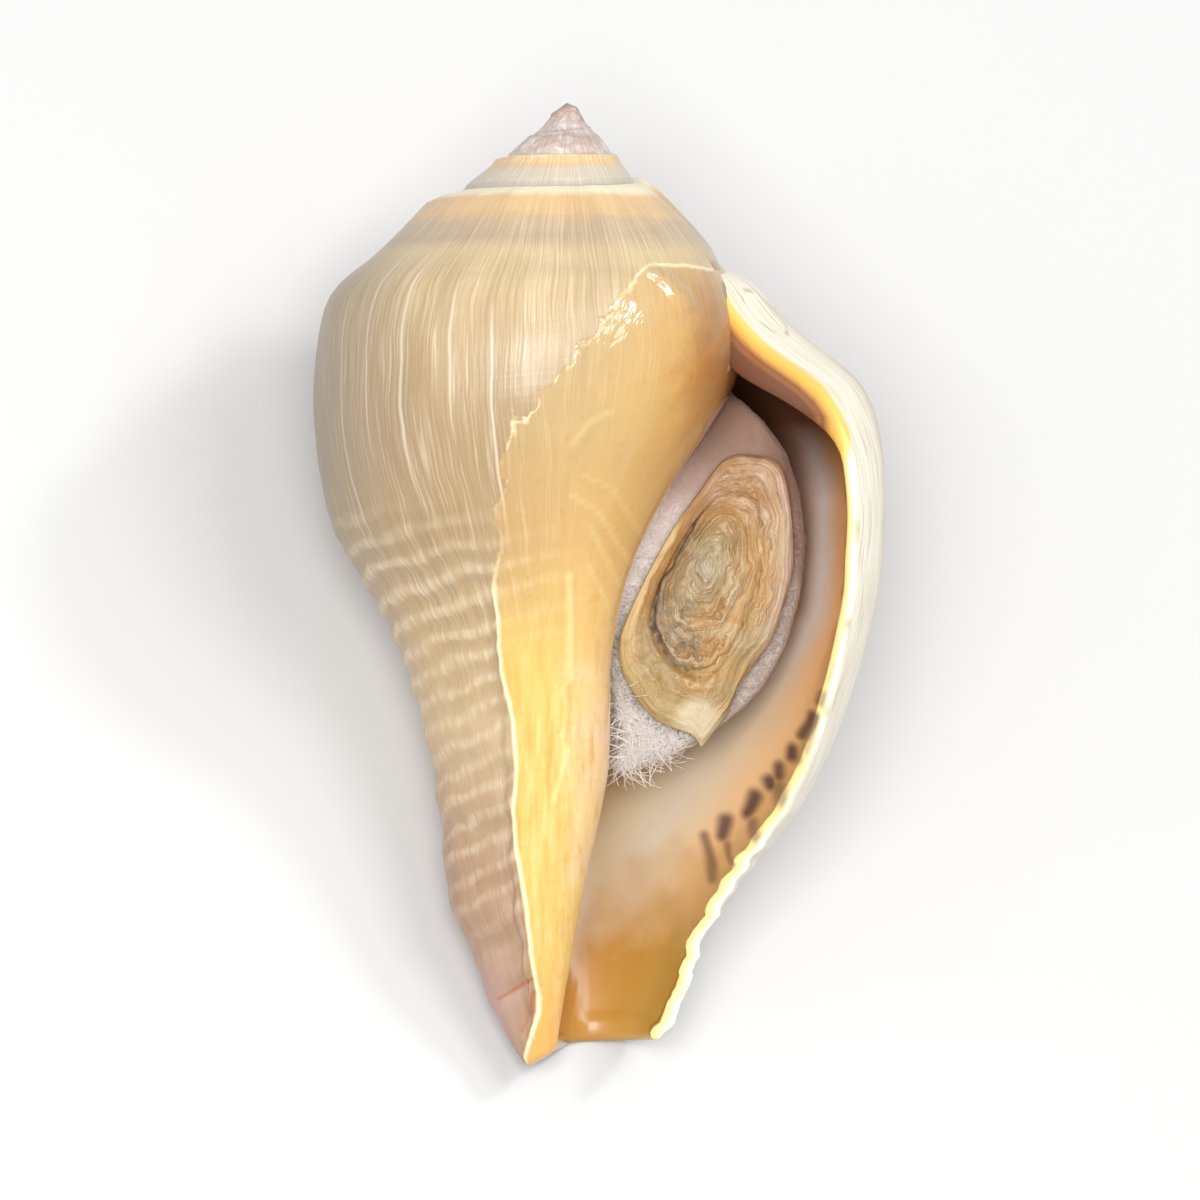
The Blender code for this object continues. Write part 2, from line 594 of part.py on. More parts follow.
def main():
    clear_scene()
    collection = bpy.data.collections.new("volema_pyrum")
    bpy.context.scene.collection.children.link(collection)
    shell = shell_loft()
    pitch = resting_pitch(shell.points)
    origin = worn_spot(lay_down(shell.points, pitch), shell.faces)
    pieces = [
        ("shell", shell, material("shell", (0.62, 0.47, 0.28), 0.35)),
        ("operculum", operculum_loft(), material("horn", (0.30, 0.21, 0.10), 0.5)),
        ("cotton_wad", wad_loft(), material("cotton", (0.62, 0.57, 0.60), 0.95)),
    ]
    for name, loft, finish in pieces:
        points = lay_down(loft.points, pitch) - origin
        mesh = to_mesh(name, points, loft.faces, worn=name == "shell")
        add_piece(collection, name, mesh, finish)
    print("pitch", round(pitch, 3), "origin in the turned frame, mm", origin.round(3))


main()
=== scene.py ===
# %% [markdown]
# # A volema pyrum, grown from a rule
# The real thing is the shell of a pear-shaped sea snail, with the horny plate that once closed it, the
# operculum, set on a wad of cotton in its mouth. A snail adds shell at the lip only, turn after turn, so
# the whole shape can be said as a rule: a profile that is wound round an axis while it grows. The script
# writes that rule down, winds it with Geometry Nodes, and then colours it by its age, the way it grew.

import functools
import math

import bmesh
import bpy
import numpy as np
from mathutils import Matrix, Vector


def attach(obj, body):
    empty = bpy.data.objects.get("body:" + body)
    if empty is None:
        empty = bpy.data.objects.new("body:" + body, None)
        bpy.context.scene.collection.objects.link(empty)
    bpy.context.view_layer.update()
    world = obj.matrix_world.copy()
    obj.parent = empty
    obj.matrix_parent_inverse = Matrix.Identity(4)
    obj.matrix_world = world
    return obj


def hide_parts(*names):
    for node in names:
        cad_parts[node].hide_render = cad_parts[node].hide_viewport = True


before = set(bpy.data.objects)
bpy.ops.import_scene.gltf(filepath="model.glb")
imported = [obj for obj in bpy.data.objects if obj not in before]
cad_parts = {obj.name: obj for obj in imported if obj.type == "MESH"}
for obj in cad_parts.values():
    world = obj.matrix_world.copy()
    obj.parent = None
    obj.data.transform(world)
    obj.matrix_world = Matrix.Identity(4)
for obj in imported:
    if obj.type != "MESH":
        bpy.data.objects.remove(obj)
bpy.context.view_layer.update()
MM = 0.001
print("solids to dress:", sorted(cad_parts))

# %% [markdown]
# ## Two small helpers
# Colours are written as the sRGB hex values that a paint program shows, and shaders work in linear
# light, so one function converts them. A second function adds a node, whatever its kind: its settings
# go in by name, and a value or a link for each input goes in by order. A sum is written with its sign,
# as in add(tree, "*", a, b), and COLOUR stands for a mix of two colours: its share first, then the
# colour below and the one over it. With these two, a long recipe still reads from top to bottom.

# %% Colour and node helpers
MIX = "ShaderNodeMix"
COLOUR = "a mix of two colours"
RAMP = "ShaderNodeValToRGB"
NOISE = "ShaderNodeTexNoise"
RANGE = "ShaderNodeMapRange"
COMBINE = "ShaderNodeCombineXYZ"
SEPARATE = "ShaderNodeSeparateXYZ"
VECTOR = "ShaderNodeVectorMath"
KEPT = "GeometryNodeInputNamedAttribute"        # an attribute of the mesh, in Geometry Nodes
MEMORY = "ShaderNodeAttribute"                  # the same in a material: output 1 a vector, 2 a number
SUMS = {"*": "MULTIPLY", "+": "ADD", "-": "SUBTRACT", "/": "DIVIDE", "**": "POWER", "max": "MAXIMUM",
        "abs": "ABSOLUTE", "sin": "SINE", "cos": "COSINE", "radians": "RADIANS"}


def linear(code):
    """A hex colour as linear red, green, blue and alpha."""
    parts = [int(code[k:k + 2], 16) / 255 for k in (1, 3, 5)]
    return (*[c / 12.92 if c <= 0.04045 else ((c + 0.055) / 1.055) ** 2.4 for c in parts], 1.0)


def add(tree, kind, *values, out=0, stops=None, **settings):
    """Add a node and give one of its outputs, or with out=None the list of them."""
    if kind in SUMS:
        kind, settings = "ShaderNodeMath", {"operation": SUMS[kind], **settings}
    elif kind == COLOUR:
        kind, settings = MIX, {"data_type": "RGBA", **settings}
    made = tree.nodes.new(kind)
    for name, setting in settings.items():
        setattr(made, name, setting)
    for place, (at, code) in enumerate(stops or []):
        stop = made.color_ramp.elements[place] if place < 2 else made.color_ramp.elements.new(at)
        stop.position = at
        stop.color = linear(code)
    inputs = [socket for socket in made.inputs if socket.enabled]
    for socket, value in zip(inputs, values):
        if isinstance(value, bpy.types.NodeSocket):
            tree.links.new(value, socket)
        elif isinstance(value, str) and value.startswith("#"):
            socket.default_value = linear(value)
        elif value is not None:
            socket.default_value = value
    outputs = [socket for socket in made.outputs if socket.enabled]
    return outputs if out is None else outputs[out]


# %% [markdown]
# ## The growth rule
# Each profile is a list of radii against depths below the apex, at one angle of growth. Angles count
# up towards the lip, and 0 is the viewer's right. The profiles of the last whorl are measured at seven
# angles, and the suture line says where each whorl meets the one before. Between them runs a smooth
# curve that doesn't overshoot, which keeps the measured corners and bulges where they are.

# %% Measured profiles of the last whorl
PROFILES = {
    -360: [(7.8, 6.9), (8.2, 8.0), (8.7, 8.9), (9.6, 10.0), (11.6, 12.1), (13.1, 13.6), (14.8, 15.1),
           (16.4, 16.1), (19.0, 17.4), (22.0, 18.1), (25.0, 18.0), (27.5, 17.2), (29.3, 16.3), (32.9, 14.0),
           (37.2, 11.0), (42.1, 8.3), (46.3, 6.4), (51.4, 5.1), (56.0, 4.6), (60.0, 4.9), (65.1, 5.1),
           (70.7, 4.3), (77.3, 2.8), (84.0, 1.8), (90.1, 1.1), (93.0, 0.9)],
    -270: [(8.7, 9.0), (9.1, 10.2), (9.7, 11.3), (11.0, 12.9), (13.0, 15.0), (15.5, 17.3), (18.0, 19.2),
           (21.0, 20.5), (25.0, 21.2), (29.0, 20.9), (33.0, 19.8), (37.0, 17.8), (41.0, 15.6), (45.0, 13.3),
           (49.0, 11.5), (53.0, 10.2), (58.0, 9.2), (64.0, 8.5), (70.0, 7.7), (77.0, 6.3), (84.0, 4.6),
           (89.0, 3.2), (92.5, 2.2), (94.4, 1.6)],
    -180: [(9.2, 10.6), (9.5, 11.8), (9.8, 12.8), (10.1, 13.5), (11.0, 14.4), (13.0, 16.2), (16.0, 19.2),
           (18.5, 22.2), (20.7, 23.6), (24.3, 24.3), (29.3, 24.6), (34.5, 24.2), (39.3, 23.3), (43.2, 22.1),
           (47.0, 19.8), (51.1, 17.0), (54.2, 15.4), (59.6, 13.4), (67.1, 11.6), (74.7, 10.4), (78.5, 10.1),
           (83.2, 8.4), (87.9, 6.2), (89.9, 5.8), (91.6, 4.6), (94.2, 3.3), (95.7, 2.3)],
    -90: [(11.9, 12.8), (12.4, 14.6), (13.4, 16.3), (15.0, 18.3), (17.0, 20.7), (19.5, 23.4), (22.0, 25.5),
          (25.0, 27.1), (29.0, 28.3), (33.0, 28.6), (38.0, 28.2), (43.0, 27.0), (48.0, 25.0), (53.0, 22.7),
          (58.0, 20.4), (64.0, 17.9), (70.0, 15.6), (77.0, 13.0), (83.0, 10.8), (88.0, 8.5), (91.5, 6.2),
          (93.9, 3.8)],
    -45: [(14.3, 14.6), (14.9, 16.4), (16.0, 18.7), (18.0, 21.4), (20.5, 24.1), (23.5, 27.0), (27.0, 29.4),
          (31.0, 30.6), (36.0, 31.2), (41.0, 31.1), (46.0, 30.2), (52.0, 28.1), (58.0, 25.6), (64.0, 22.9),
          (70.0, 20.1), (76.0, 17.3), (81.0, 15.0), (86.0, 12.9), (90.0, 11.4), (92.3, 10.6), (93.4, 9.8)],
    0: [(16.4, 16.1), (17.0, 18.1), (18.6, 20.1), (20.4, 21.7), (21.9, 23.1), (23.7, 25.5), (25.4, 27.9),
        (27.7, 30.3), (31.5, 31.9), (36.0, 32.5), (42.0, 32.7), (47.9, 32.2), (53.0, 31.1), (58.1, 29.7),
        (65.3, 27.2), (70.4, 24.7), (76.5, 20.2), (79.5, 18.0), (83.1, 15.8), (87.8, 14.3), (90.9, 13.2),
        (92.3, 12.5), (93.2, 11.6)],
    27: [(17.1, 16.8), (18.7, 17.7), (20.9, 19.2), (23.3, 21.6), (24.9, 23.6), (26.4, 26.2), (28.1, 28.8),
         (30.2, 30.6), (32.5, 31.9), (36.0, 33.0), (41.0, 33.5), (47.0, 33.2), (53.0, 31.9), (60.0, 29.7),
         (65.0, 27.6), (70.0, 24.6), (76.5, 19.7), (80.0, 17.4), (83.1, 15.8), (87.8, 14.3), (90.9, 13.2),
         (92.3, 12.5), (93.2, 11.6)],
}
SUTURE = [(-1620, 0.1, 0.45), (-1440, 0.42, 0.9), (-1260, 1.15, 1.35), (-1080, 2.3, 2.25), (-900, 3.5, 3.5),
          (-720, 5.0, 4.6), (-540, 5.9, 6.2), (-360, 7.8, 6.9), (-270, 8.7, 9.0), (-180, 9.2, 10.6),
          (-90, 11.9, 12.8), (-45, 14.3, 14.6), (0, 16.4, 16.1), (27, 17.1, 16.8), (387, 34.0, 33.0)]
GROWTH = 1.75               # how much larger each whorl is than the one before
LIP_ANGLE = 27.0            # where growth stopped, degrees
CAVITY_DEPTH = 210.0        # how far the hollow goes in from the lip, degrees
CANAL_OPEN = 90.0           # how far in from the lip the siphonal canal is an open groove, degrees
DEEP = LIP_ANGLE - CAVITY_DEPTH
SHUT = LIP_ANGLE - CANAL_OPEN
WEDGE = 9.0                 # depth of the callus that fills the corner above the aperture, mm
WEDGE_SHARE = 0.12          # and the share of the body whorl's height that its rows take further down
BLEND = 6                   # how soon the rows below a suture fall into step with the whorl they lie on
LIP_WALL = 1.3              # thickness of the wall at the lip, mm
DEEP_WALL = 2.4             # and far inside
FLOOR_TOP = 64.0            # depth of the hollow's floor at its inner end, mm
VAULT = 0.14                # share of the hollow's height in which its roof curves out to the wall
VAULT_POWER = 2.5           # how round that roof is
FLOOR_POWER = (4.0, 56.0)   # how square its floor is at the inner end, and how much more at the canal
LIP_SWEEP = [(45.0, 0.0), (59.0, 4.0), (68.7, 10.0), (76.8, 17.0), (85.0, 22.0), (93.0, 24.0)]
CALLUS = 0.8                # height of the callus on the columella, mm
CALLUS_EDGE = -241.0        # its free edge, degrees
CALLUS_FADE = -190.0        # where the face below that edge is level with it again, degrees
CALLUS_TOP = 43.0           # depth where it begins, mm
CALLUS_FOOT = 94.0          # depth where it ends, mm
KNOB = 1.3                  # how much rounder the first whorls are than the rest
KEYS = sorted(PROFILES)


# %% The rule as functions of angle and depth
def smooth_through(xs, ys, x):
    """A smooth curve through points, with no overshoot. ys may hold a row of values for each x."""
    xs = np.asarray(xs, float)
    ys = np.asarray(ys, float)
    step = np.diff(xs)
    slope = np.diff(ys, axis=0) / step.reshape(-1, *[1] * (ys.ndim - 1))
    same = slope[:-1] * slope[1:] > 0
    mean = 2 * slope[:-1] * slope[1:] / np.where(same, slope[:-1] + slope[1:], 1.0)
    tangent = np.concatenate([slope[:1], np.where(same, mean, 0.0), slope[-1:]])
    x = np.clip(np.asarray(x, float), xs[0], xs[-1])
    at = np.clip(np.searchsorted(xs, x, side="right") - 1, 0, len(xs) - 2)
    t = (x - xs[at]) / step[at]
    rise = (3 * t ** 2 - 2 * t ** 3) * (ys[at + 1] - ys[at])
    lean = step[at] * ((t ** 3 - 2 * t ** 2 + t) * tangent[at] + (t ** 3 - t ** 2) * tangent[at + 1])
    return ys[at] + rise + lean


def ease(low, high, x):
    """0 below low, 1 above high, smooth between."""
    t = np.clip((np.asarray(x, float) - low) / (high - low), 0.0, 1.0)
    return t * t * (3 - 2 * t)


@functools.lru_cache(maxsize=None)
def suture(angle):
    """Depth and radius of the suture at a growth angle."""
    angles, depths, radii = zip(*SUTURE)
    return float(smooth_through(angles, depths, angle)), float(smooth_through(angles, radii, angle))


def bottom_depth(angle):
    """Depth where the profile at a growth angle ends."""
    return float(smooth_through(KEYS, [PROFILES[key][-1][0] for key in KEYS], angle))


def floor_depth(angle):
    """Depth of the hollow's floor: it winds down to the canal's end as it nears the lip."""
    share = min(max((angle - DEEP) / (SHUT - DEEP), 0.0), 1.0)
    return FLOOR_TOP + (bottom_depth(-360.0) - FLOOR_TOP) * share ** 0.8


def measured_radius(angle, depth):
    """Radius of the outer face at one growth angle from -360 on."""
    top = suture(angle)[0]
    station = np.clip((depth - top) / (bottom_depth(angle) - top), 0.0, 1.0)
    radii = []
    for key in KEYS:
        depths, values = zip(*PROFILES[key])
        radii.append(smooth_through(depths, values, depths[0] + station * (depths[-1] - depths[0])))
    radius = smooth_through(KEYS, radii, angle)
    beyond = ease(CALLUS_EDGE - 3.0, CALLUS_EDGE + 5.0, angle)
    beyond = beyond * (1.0 - ease(CALLUS_FADE - 35.0, CALLUS_FADE, angle))
    along = ease(CALLUS_TOP, CALLUS_TOP + 8.0, depth) * (1.0 - ease(CALLUS_FOOT - 4.0, CALLUS_FOOT, depth))
    return radius - CALLUS * beyond * along


def pillar_radius(angle, depth):
    """Radius of the whorl one turn back, which is the hollow's inner side."""
    if angle >= -360.0:
        return measured_radius(angle, depth)
    size = GROWTH ** ((angle + 360.0) / 360.0)
    return size * measured_radius(-360.0, np.minimum(depth / size, bottom_depth(-360.0)))


def band(angle, share):
    """A spire whorl between two sutures: depth and radius at a share of the way down."""
    d0, r0 = suture(angle)
    d1, r1 = suture(angle + 360.0)
    last0, lastr0 = suture(-360.0)
    last1, lastr1 = suture(0.0)
    swell = measured_radius(-360.0, last0 + share * (last1 - last0)) - (lastr0 + share * (lastr1 - lastr0))
    size = math.hypot(d1 - d0, r1 - r0) / math.hypot(last1 - last0, lastr1 - lastr0)
    fullness = 0.5 + 0.5 * float(ease(-540.0, -360.0, angle)) + KNOB * float(ease(-1200.0, -1500.0, angle))
    swell = swell * size * fullness
    across = math.atan2(r1 - r0, d1 - d0)
    return (d0 + share * (d1 - d0) - swell * math.sin(across),
            r0 + share * (r1 - r0) + swell * math.cos(across))


def lip_setback(depth):
    """How far the lip's edge lies back from the lip's angle at a depth, degrees."""
    depths, setbacks = zip(*LIP_SWEEP)
    return smooth_through(depths, setbacks, depth)


print("suture at the lip, mm:", suture(LIP_ANGLE))

# %% [markdown]
# ## The rows of one profile
# A mesh of this shell is a long ribbon: one column of points for each step of growth, from the suture
# down. Where two whorls meet, a column of the new whorl starts on a point of the old one, so the seam
# is closed and the shell is one skin. The ribbon is fine enough here for growth ridges to be real
# relief: a column every degree and a half, which is about 0.7 mm on the body whorl.

# %% Outer and inner columns
COLUMN = 1.5                # degrees from one column to the next
TURN = int(360 / COLUMN)
COLUMNS = 1038              # from the tip of the spire to the lip
BAND_ROWS = 14              # rows between one suture and the next
WEDGE_ROWS = 7              # rows across the wall at the top of the lip, and round its edge
EDGE_SWELL = 0.35           # how far the lip's edge bulges, as a share of the wall's thickness
EDGE_WALL = 1.8             # thickest wall that this counts, mm
EDGE_TURN = 1.8             # degrees of growth that a bulge of 1 mm takes up
ROWS = 122                  # rows in a whole profile
FOOT = BAND_ROWS + WEDGE_ROWS
TIP_SWELL = 1.0             # how far the closed tip bulges, mm
TIP_LOOPS = (0.25, 0.5, 0.75, 0.95)     # loops of points over it, as shares of a quarter turn
# The first whorls are worn to a smooth knob: depth and radius, mm
WORN = [(0.0, 0.0), (0.1, 0.5), (0.3, 0.85), (0.6, 1.12), (1.0, 1.36), (1.5, 1.64), (2.0, 2.0), (2.6, 2.5),
        (3.4, 3.5)]


def outer_profile(angle):
    """Depths and radii of every row of the outer face at a growth angle."""
    share = (np.arange(BAND_ROWS + 1) / BAND_ROWS) ** 1.3
    top = suture(angle)[0]
    next_top = suture(angle + 360.0)[0]
    bottom = bottom_depth(angle)
    if angle < -360.0:
        bottom = floor_depth(angle + 360.0)
        band_depth, band_radius = band(angle, share)
    else:
        band_depth = top + share * (next_top - top)
        band_radius = measured_radius(angle, band_depth)
    if angle < DEEP - 360.0 - 0.5 * COLUMN:
        return band_depth, band_radius
    thick = WEDGE * next_top / suture(LIP_ANGLE)[0]
    if angle > LIP_ANGLE - 360.0:
        thick = WEDGE_SHARE * (bottom - next_top)
    wedge = next_top + thick * np.arange(1, WEDGE_ROWS + 1) / WEDGE_ROWS
    low_depth = np.concatenate([wedge, np.linspace(wedge[-1], bottom, ROWS - FOOT + 1)[1:]])
    low_radius = pillar_radius(angle, low_depth)
    if angle < -360.0:
        drop = (low_depth - next_top) / (bottom - next_top)
        step = band_radius[-1] - pillar_radius(angle, np.array([next_top]))[0]
        low_radius = low_radius + step * (1 - drop) ** BLEND
    return np.concatenate([band_depth, low_depth]), np.concatenate([band_radius, low_radius])


def wall_radius(angle, depth):
    """Radius of the inner face of the outer wall, before it meets the pillar above and below."""
    wall = LIP_WALL + (DEEP_WALL - LIP_WALL) * (1.0 - float(ease(LIP_ANGLE - 50.0, LIP_ANGLE, angle)))
    down = np.linspace(suture(angle)[0], bottom_depth(angle), 160)
    out = measured_radius(angle, down)
    along = np.hypot(np.gradient(down), np.gradient(out))
    inner_depth = down + wall * np.gradient(out) / along
    inner_radius = out - wall * np.gradient(down) / along
    order = np.argsort(inner_depth)
    return np.interp(depth, inner_depth[order], inner_radius[order])


def inner_profile(angle, outer_depth):
    """Depths and radii of every row of the hollow's outer side at a growth angle."""
    start = suture(angle)[0]
    top = start + WEDGE * start / suture(LIP_ANGLE)[0]
    bottom = bottom_depth(angle)
    share = (outer_depth - start) / (bottom - start)
    level = (outer_depth + (top - start) * (1.0 - share) ** BLEND - top) / (bottom - top)
    end = bottom if angle > SHUT else floor_depth(angle)
    depth = top + level * (end - top)
    pillar = pillar_radius(angle - 360.0, depth)
    reach = 1.0 - (1.0 - np.minimum(level / VAULT, 1.0)) ** VAULT_POWER
    if angle <= SHUT:
        power = FLOOR_POWER[0] + FLOOR_POWER[1] * ((angle - DEEP) / (SHUT - DEEP)) ** 2
        reach = reach * np.sqrt(np.clip(1.0 - level ** power, 0.0, 1.0))
    return depth, pillar + (wall_radius(angle, depth) - pillar) * reach


# %% [markdown]
# ## Weave the columns into one ribbon
# The ribbon is still flat here: a point's x, y and z are its angle, depth and radius. Each corner of
# each face also remembers how it grew, because that is what the colours follow: the age of its growth
# line, how far below its own suture it lies, and how far behind the lip. Corners carry this, not
# points, because the two whorls that share a point at the suture have different ages.

# %% Build the ribbon
class Weave:
    """Points, faces and what each face corner remembers, gathered for one closed skin."""

    def __init__(self):
        self.points = []
        self.faces = []
        self.corners = []

    def column(self, angles, depths, radii, memory):
        """A column of new points, with the memory of each."""
        first = len(self.points)
        self.points.extend(zip(angles, depths, radii))
        return np.arange(first, first + len(angles)), memory

    def strip(self, one, other, rows):
        """Quads between two columns."""
        (a, am), (b, bm) = (one[0][rows], one[1][rows]), (other[0][rows], other[1][rows])
        self.faces.append(np.stack([a[:-1], a[1:], b[1:], b[:-1]], 1))
        self.corners.append(np.stack([am[:-1], am[1:], bm[1:], bm[:-1]], 1))

    def triangles(self, faces, memory):
        """Loose triangles that share one memory."""
        faces = np.array(faces)
        self.faces.append(np.concatenate([faces, faces[:, 2:]], 1))
        self.corners.append(np.broadcast_to(memory, (len(faces), 4, len(memory))))


# %% Between the ribbon and the wound shell
def placed(points):
    """Angle, depth and radius as x, depth and z, in mm."""
    turn = np.radians(points[:, 0])
    return np.stack([points[:, 2] * np.cos(turn), points[:, 1], points[:, 2] * np.sin(turn)], 1)


def unwound(places):
    """x, depth and z as angle, depth and radius."""
    angle = np.degrees(np.arctan2(places[:, 2], places[:, 0]))
    return np.stack([angle, places[:, 1], np.hypot(places[:, 0], places[:, 2])], 1)


def turned(angle, depth):
    """The columns lean back with the lip's edge as they near it."""
    return angle - lip_setback(depth) * ease(LIP_ANGLE - 130.0, LIP_ANGLE, angle)


def remember(angle, depth, radius, side):
    """What corners keep: age, mm below the suture, share of the band, mm from the lip, side, angle."""
    age = turned(angle, depth) + lip_setback(depth)
    below = np.concatenate([[0.0], np.cumsum(np.hypot(np.diff(depth), np.diff(radius)))])
    share = below / below[BAND_ROWS]
    from_lip = math.radians(LIP_ANGLE - angle) * radius
    return np.stack([age, below, share, from_lip, np.full(len(depth), side), np.full(len(depth), angle)], 1)


# %% The whole ribbon
def rounded(weave, outside, inside, row, way):
    """Points over the wall's edge, from its outer corner to its inner one."""
    a, am = np.array(weave.points[outside[0][row]]), outside[1][row]
    b, bm = np.array(weave.points[inside[0][row]]), inside[1][row]
    b[0] += 360.0 * round((a[0] - b[0]) / 360.0)
    share = np.arange(1, WEDGE_ROWS)[:, None] / WEDGE_ROWS
    swell = EDGE_SWELL * min(float(np.linalg.norm((b - a)[1:])), EDGE_WALL)
    across = a + (b - a) * (0.5 - 0.5 * np.cos(math.pi * share))
    across = across + np.array(way) * swell * np.sin(math.pi * share)
    first = len(weave.points)
    weave.points.extend(map(tuple, across))
    ids = [outside[0][row], *range(first, first + WEDGE_ROWS - 1), inside[0][row]]
    share = np.arange(WEDGE_ROWS + 1)[:, None] / WEDGE_ROWS
    return np.array(ids), am + (bm - am) * share


def weave_shell():
    """The whole shell as one ribbon."""
    weave = Weave()
    hollow = COLUMNS - int(CAVITY_DEPTH / COLUMN)
    shut = COLUMNS - int(CANAL_OPEN / COLUMN)
    weave.points.append((0.0, 0.0, 0.0))
    outer = []
    inner = {}
    for j in range(COLUMNS + 1):
        angle = LIP_ANGLE - (COLUMNS - j) * COLUMN
        depth, radius = outer_profile(angle)
        ids, memory = weave.column(turned(angle, depth[1:]), depth[1:], radius[1:],
                                   remember(angle, depth, radius, 0.0))
        first = 0 if j < TURN else outer[j - TURN][0][BAND_ROWS]
        outer.append((np.concatenate([[first], ids]), memory))
        if j >= hollow:
            depth, radius = inner_profile(angle, depth)
            ids, memory = weave.column(turned(angle, depth[1:]), depth[1:], radius[1:],
                                       remember(angle, depth, radius, 1.0))
            if j <= shut:
                ids[-1] = outer[j - TURN][0][ROWS]
            inner[j] = (np.concatenate([[outer[j - TURN][0][FOOT]], ids]), memory)

    for j in range(COLUMNS):
        last = ROWS if j >= hollow - TURN else FOOT if j >= COLUMNS - TURN else BAND_ROWS
        weave.strip(outer[j], outer[j + 1], slice(0, last + 1))
        if j >= hollow:
            weave.strip(inner[j], inner[j + 1], slice(0, ROWS + 1))
    spire = outer[0][0]
    weave.triangles([(spire[0], spire[k], spire[k + 1]) for k in range(1, BAND_ROWS)], outer[0][1][0])

    one = outer[hollow - TURN][0][FOOT:]
    other = inner[hollow][0]
    shut_end = []
    a = b = 0
    while a < len(one) - 1 or b < len(other) - 1:
        if b == len(other) - 1 or (a + 1) / len(one) <= (b + 1) / len(other) and a < len(one) - 1:
            shut_end.append((one[a], one[a + 1], other[b]))
            a += 1
        else:
            shut_end.append((one[a], other[b + 1], other[b]))
            b += 1
    shut_end = [face for face in shut_end if len(set(face)) == 3]
    weave.triangles(shut_end, inner[hollow][1][ROWS // 2])

    weld = outer[COLUMNS - TURN][0][BAND_ROWS:FOOT + 1]
    first, last = outer[COLUMNS][1][:1], inner[COLUMNS][1][:1]
    rim = [(weld, first + (last - first) * np.arange(WEDGE_ROWS + 1)[:, None] / WEDGE_ROWS)]
    for row in range(1, ROWS + 1):
        rim.append(rounded(weave, outer[COLUMNS], inner[COLUMNS], row, (EDGE_TURN, 0.0, 0.0)))
    for one, other in zip(rim, rim[1:]):
        weave.strip(one, other, slice(0, None))
    mouth = [rounded(weave, outer[j], inner[j], ROWS, (0.0, 1.0, 0.0)) for j in range(shut, COLUMNS)]
    mouth.append(rim[-1])
    for one, other in zip(mouth, mouth[1:]):
        weave.strip(one, other, slice(0, None))

    tip = [outer[j] for j in range(shut - TURN, shut + 1)]
    tip = [(ids[ROWS], memory[ROWS]) for ids, memory in tip]
    tip += [(k, tip[0][1]) for k in mouth[0][0][1:-1]]
    loop = [(np.array([k for k, memory in tip]), np.array([memory for k, memory in tip]))]
    ring = placed(np.array([weave.points[k] for k, memory in tip]))
    centre = ring.mean(axis=0)
    for share in TIP_LOOPS:
        way = 0.5 * math.pi * share
        dome = centre + (ring - centre) * math.cos(way) + np.array([0.0, TIP_SWELL * math.sin(way), 0.0])
        loop.append(weave.column(*unwound(dome).T, loop[0][1]))
    around = [(np.append(ids, ids[0]), np.concatenate([memory, memory[:1]])) for ids, memory in loop]
    for one, other in zip(around, around[1:]):
        weave.strip(one, other, slice(0, None))
    ids = loop[-1][0]
    weave.triangles([(ids[0], ids[k], ids[k + 1]) for k in range(1, len(ids) - 1)], loop[-1][1][0])
    return weave


# %% Weave it
weave = weave_shell()
flat = np.array(weave.points, float)
knob = smooth_through(*zip(*WORN), flat[:, 1])
flat[:, 2] = np.where(flat[:, 1] < WORN[-1][0], np.minimum(flat[:, 2], knob), flat[:, 2])
faces = np.concatenate(weave.faces)
corners = np.concatenate(weave.corners)
print("ribbon:", len(flat), "points,", len(faces), "faces")


# %% [markdown]
# ## What each point knows of its place
# Some things follow the place rather than the growth. The free edge of the film and the inner edge of
# the lip are lines on the shell seen from the front, in mm, and every point keeps its distance from
# both. Low ridges and creases are strokes, and every point keeps how far they raise it. The stains and
# the colour of the creases are strokes too, but the shell's material measures those for itself.

# %% Lines and strokes seen from the front
# The free edge of the film and of the callus below it, from the lip down to the tip: (x, depth)
FILM_EDGE = [(15.9, 16.5), (13.7, 16.2), (10.5, 16.2), (8.6, 16.3), (7.2, 17.0),
             (6.2, 18.6), (5.2, 20.4), (3.8, 22.6), (1.4, 26.2),
             (-0.0, 27.7), (-3.0, 30.8), (-4.7, 33.0), (-5.6, 35.3), (-5.9, 39.9), (-5.9, 43.6), (-6.3, 48.7),
             (-5.7, 52.0), (-5.4, 56.1), (-4.7, 59.2), (-4.1, 61.8), (-3.7, 65.9), (-3.7, 67.8), (-3.8, 70.9),
             (-3.5, 73.9), (-3.0, 77.0), (-2.5, 80.0), (-1.9, 84.1), (-1.4, 87.2), (-0.9, 89.1), (-1.0, 90.9),
             (-1.5, 92.7), (-2.1, 95.6)]
# The lip's inner edge as the viewer sees it: (x, depth)
LIP_EDGE = [(14.6, 17.0), (16.9, 20.9), (19.0, 23.3), (20.7, 24.7), (23.3, 26.4), (25.6, 28.1), (27.1, 30.2),
            (28.3, 32.5), (29.3, 36.0), (29.7, 40.1), (29.6, 43.0), (29.5, 49.0), (28.7, 53.0), (28.0, 56.6),
            (27.3, 59.4), (26.4, 63.6), (25.3, 65.3), (23.8, 68.7), (21.3, 72.8), (18.5, 76.8), (16.4, 81.7),
            (14.5, 86.2), (13.9, 89.4), (12.4, 92.3)]
